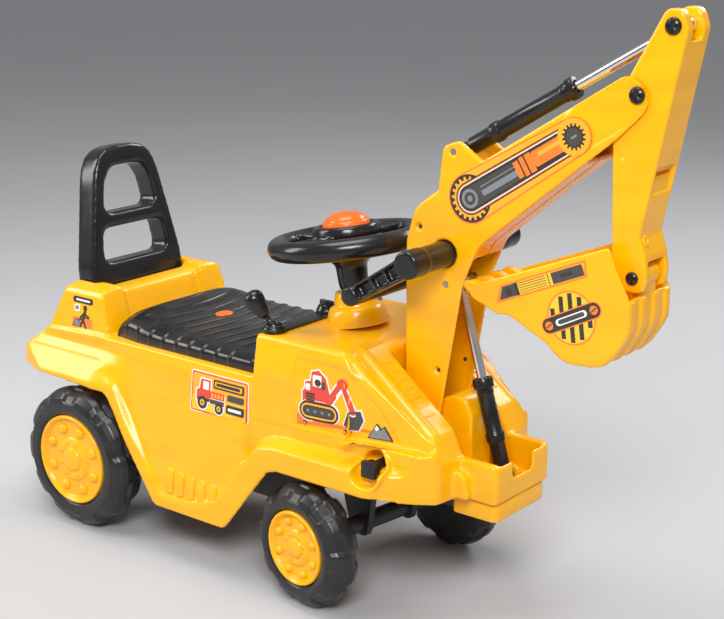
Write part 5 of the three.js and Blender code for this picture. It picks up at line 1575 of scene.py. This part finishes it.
@dataclass
class Ram:
    """One toy hydraulic cylinder: a black collared barrel and a bright rod."""

    name: str
    foot: tuple[float, float]
    head: tuple[float, float]
    barrel: float
    rod: float
    length: float
    collar: float
    rod_start: float
    barrel_body: str
    rod_body: str

    def build(self, bench: Bench) -> None:
        """Hands over the barrel and the rod."""
        start = Vector((self.foot[0], 0, self.foot[1]))
        end = Vector((self.head[0], 0, self.head[1]))
        axis = end - start
        b, r, top = self.barrel - 0.1, self.rod - 0.1, self.length - 0.2
        lip = top - self.collar
        profile = [(0, 7), (b - 1.6, 7), (b - 0.4, 8.2), (b - 0.3, 35), (b + 0.3, 36.4),
                   (b + 1.1, 37.4), (b + 1.1, 44.6), (b + 0.2, 46), (b - 0.4, 47),
                   (b - 0.4, lip - 6), (b, lip - 5), (b, lip - 3), (b - 0.3, lip - 2),
                   (b - 0.3, lip), (b + 0.9, lip + 0.8), (b + 1.8, lip + 1.8),
                   (b + 1.8, top - 2.2), (b + 1.0, top - 0.7), (b - 0.6, top), (r + 1.4, top),
                   (r + 0.7, top - 1.2), (r + 0.7, 16), (0, 16)]
        barrel = turned(profile, start, axis, 56)
        eye = turned([(3.6, 0), (7.4, 0), (7.4, 15.6), (3.6, 15.6)],
                     start - LEFT * 7.8, LEFT, 40, 0.6)
        bench.piece(f"{self.name}_barrel_dressed", add_shape(barrel, eye), self.barrel_body,
                    "black", [f"{self.name}_cylinder_barrel"], 34)
        reach = axis.length - 6.8
        rod = turned([(0, self.rod_start), (r - 0.6, self.rod_start), (r, self.rod_start + 0.8),
                      (r, reach), (0, reach)], start, axis, 48)
        ring = turned([(5.0, 0), (7.9, 0), (7.9, 10.6), (5.0, 10.6)],
                      end - LEFT * 5.3, LEFT, 40, 0.6)
        bench.piece(f"{self.name}_rod_bright", add_shape(rod, ring), self.rod_body, "chrome",
                    [f"{self.name}_cylinder_rod"], 34)


# ------------------------------------------------------------------ studio

@dataclass
class Studio:
    """Camera, floor and soft lights."""

    eye: tuple[float, float, float] = (1.0089, -1.2260, 0.7364)
    down: float = 15.66
    swing: float = 38.57
    focal_share: float = 1514.0 / 724.0

    def softbox(self, name: str, spot: tuple[float, float, float], size: tuple[float, float],
                power: float, tone: tuple[float, float, float] = (1.0, 1.0, 1.0)) -> None:
        """A rectangular light that looks at the middle of the object."""
        light = bpy.data.lights.new(name, "AREA")
        light.shape = "RECTANGLE"
        light.size, light.size_y = size
        light.energy = power
        light.color = tone
        lamp = bpy.data.objects.new(name, light)
        aim = Vector((0.0, 0.0, 0.25)) - Vector(spot)
        lamp.location = spot
        lamp.rotation_euler = aim.to_track_quat("-Z", "Y").to_euler()
        bpy.context.scene.collection.objects.link(lamp)

    def build(self, bench: Bench) -> None:
        """Sets up everything that is not the object."""
        scene = bpy.context.scene
        scene.view_settings.view_transform = "Standard"
        data = bpy.data.cameras.new("camera")
        data.sensor_width = 36.0
        data.lens = 36.0 * self.focal_share
        data.clip_end = 100.0
        camera = bpy.data.objects.new("camera", data)
        camera.location = self.eye
        camera.rotation_euler = (math.radians(90 - self.down), 0.0, math.radians(self.swing))
        scene.collection.objects.link(camera)
        scene.camera = camera
        shape = bmesh.new()
        bmesh.ops.create_grid(shape, x_segments=1, y_segments=1, size=20.0)
        mesh = bpy.data.meshes.new("floor")
        shape.to_mesh(mesh)
        shape.free()
        mesh.materials.append(bench.materials["pale_floor"])
        floor = bpy.data.objects.new("floor", mesh)
        scene.collection.objects.link(floor)
        world = bpy.data.worlds.new("studio_air")
        world.use_nodes = True
        world.node_tree.nodes["Background"].inputs["Color"].default_value = (0.95, 0.96, 1.0, 1.0)
        world.node_tree.nodes["Background"].inputs["Strength"].default_value = 0.34
        scene.world = world
        self.softbox("key_softbox", (1.3, -1.7, 1.9), (1.1, 0.7), 52.0)
        self.softbox("side_softbox", (-1.7, -1.2, 1.2), (0.7, 1.2), 21.0, (1.0, 0.99, 0.97))
        self.softbox("back_softbox", (0.4, 1.9, 1.7), (1.4, 0.6), 22.0)
        self.softbox("top_softbox", (-0.2, -0.2, 2.3), (1.2, 1.2), 25.0)


def main() -> None:
    """Builds the studio and every piece."""
    logging.basicConfig(level=logging.INFO, format="%(name)s %(message)s")
    bench = Bench()
    Studio().build(bench)
    bench.dress_nodes()
    RunningGear().build(bench)
    BodyShell().build(bench)
    Saddle().build(bench)
    Backrest().build(bench)
    SteeringColumn(Vector((324, 0, 285))).build(bench)
    ConsoleControls(Vector((276, -82, 285))).build(bench)
    DiggingArm().build(bench)
    DiggingHandle().build(bench)
    Ram("boom", (516, 152), (457, 350), 9.0, 5.2, 104.0, 12.0, 68.0, "boom_cylinder",
        "boom_piston").build(bench)
    Ram("stick", (464, 485), (692, 619), 9.5, 5.2, 141.0, 10.0, 58.0, "stick_cylinder",
        "stick_piston").build(bench)


if __name__ == "__main__":
    main()
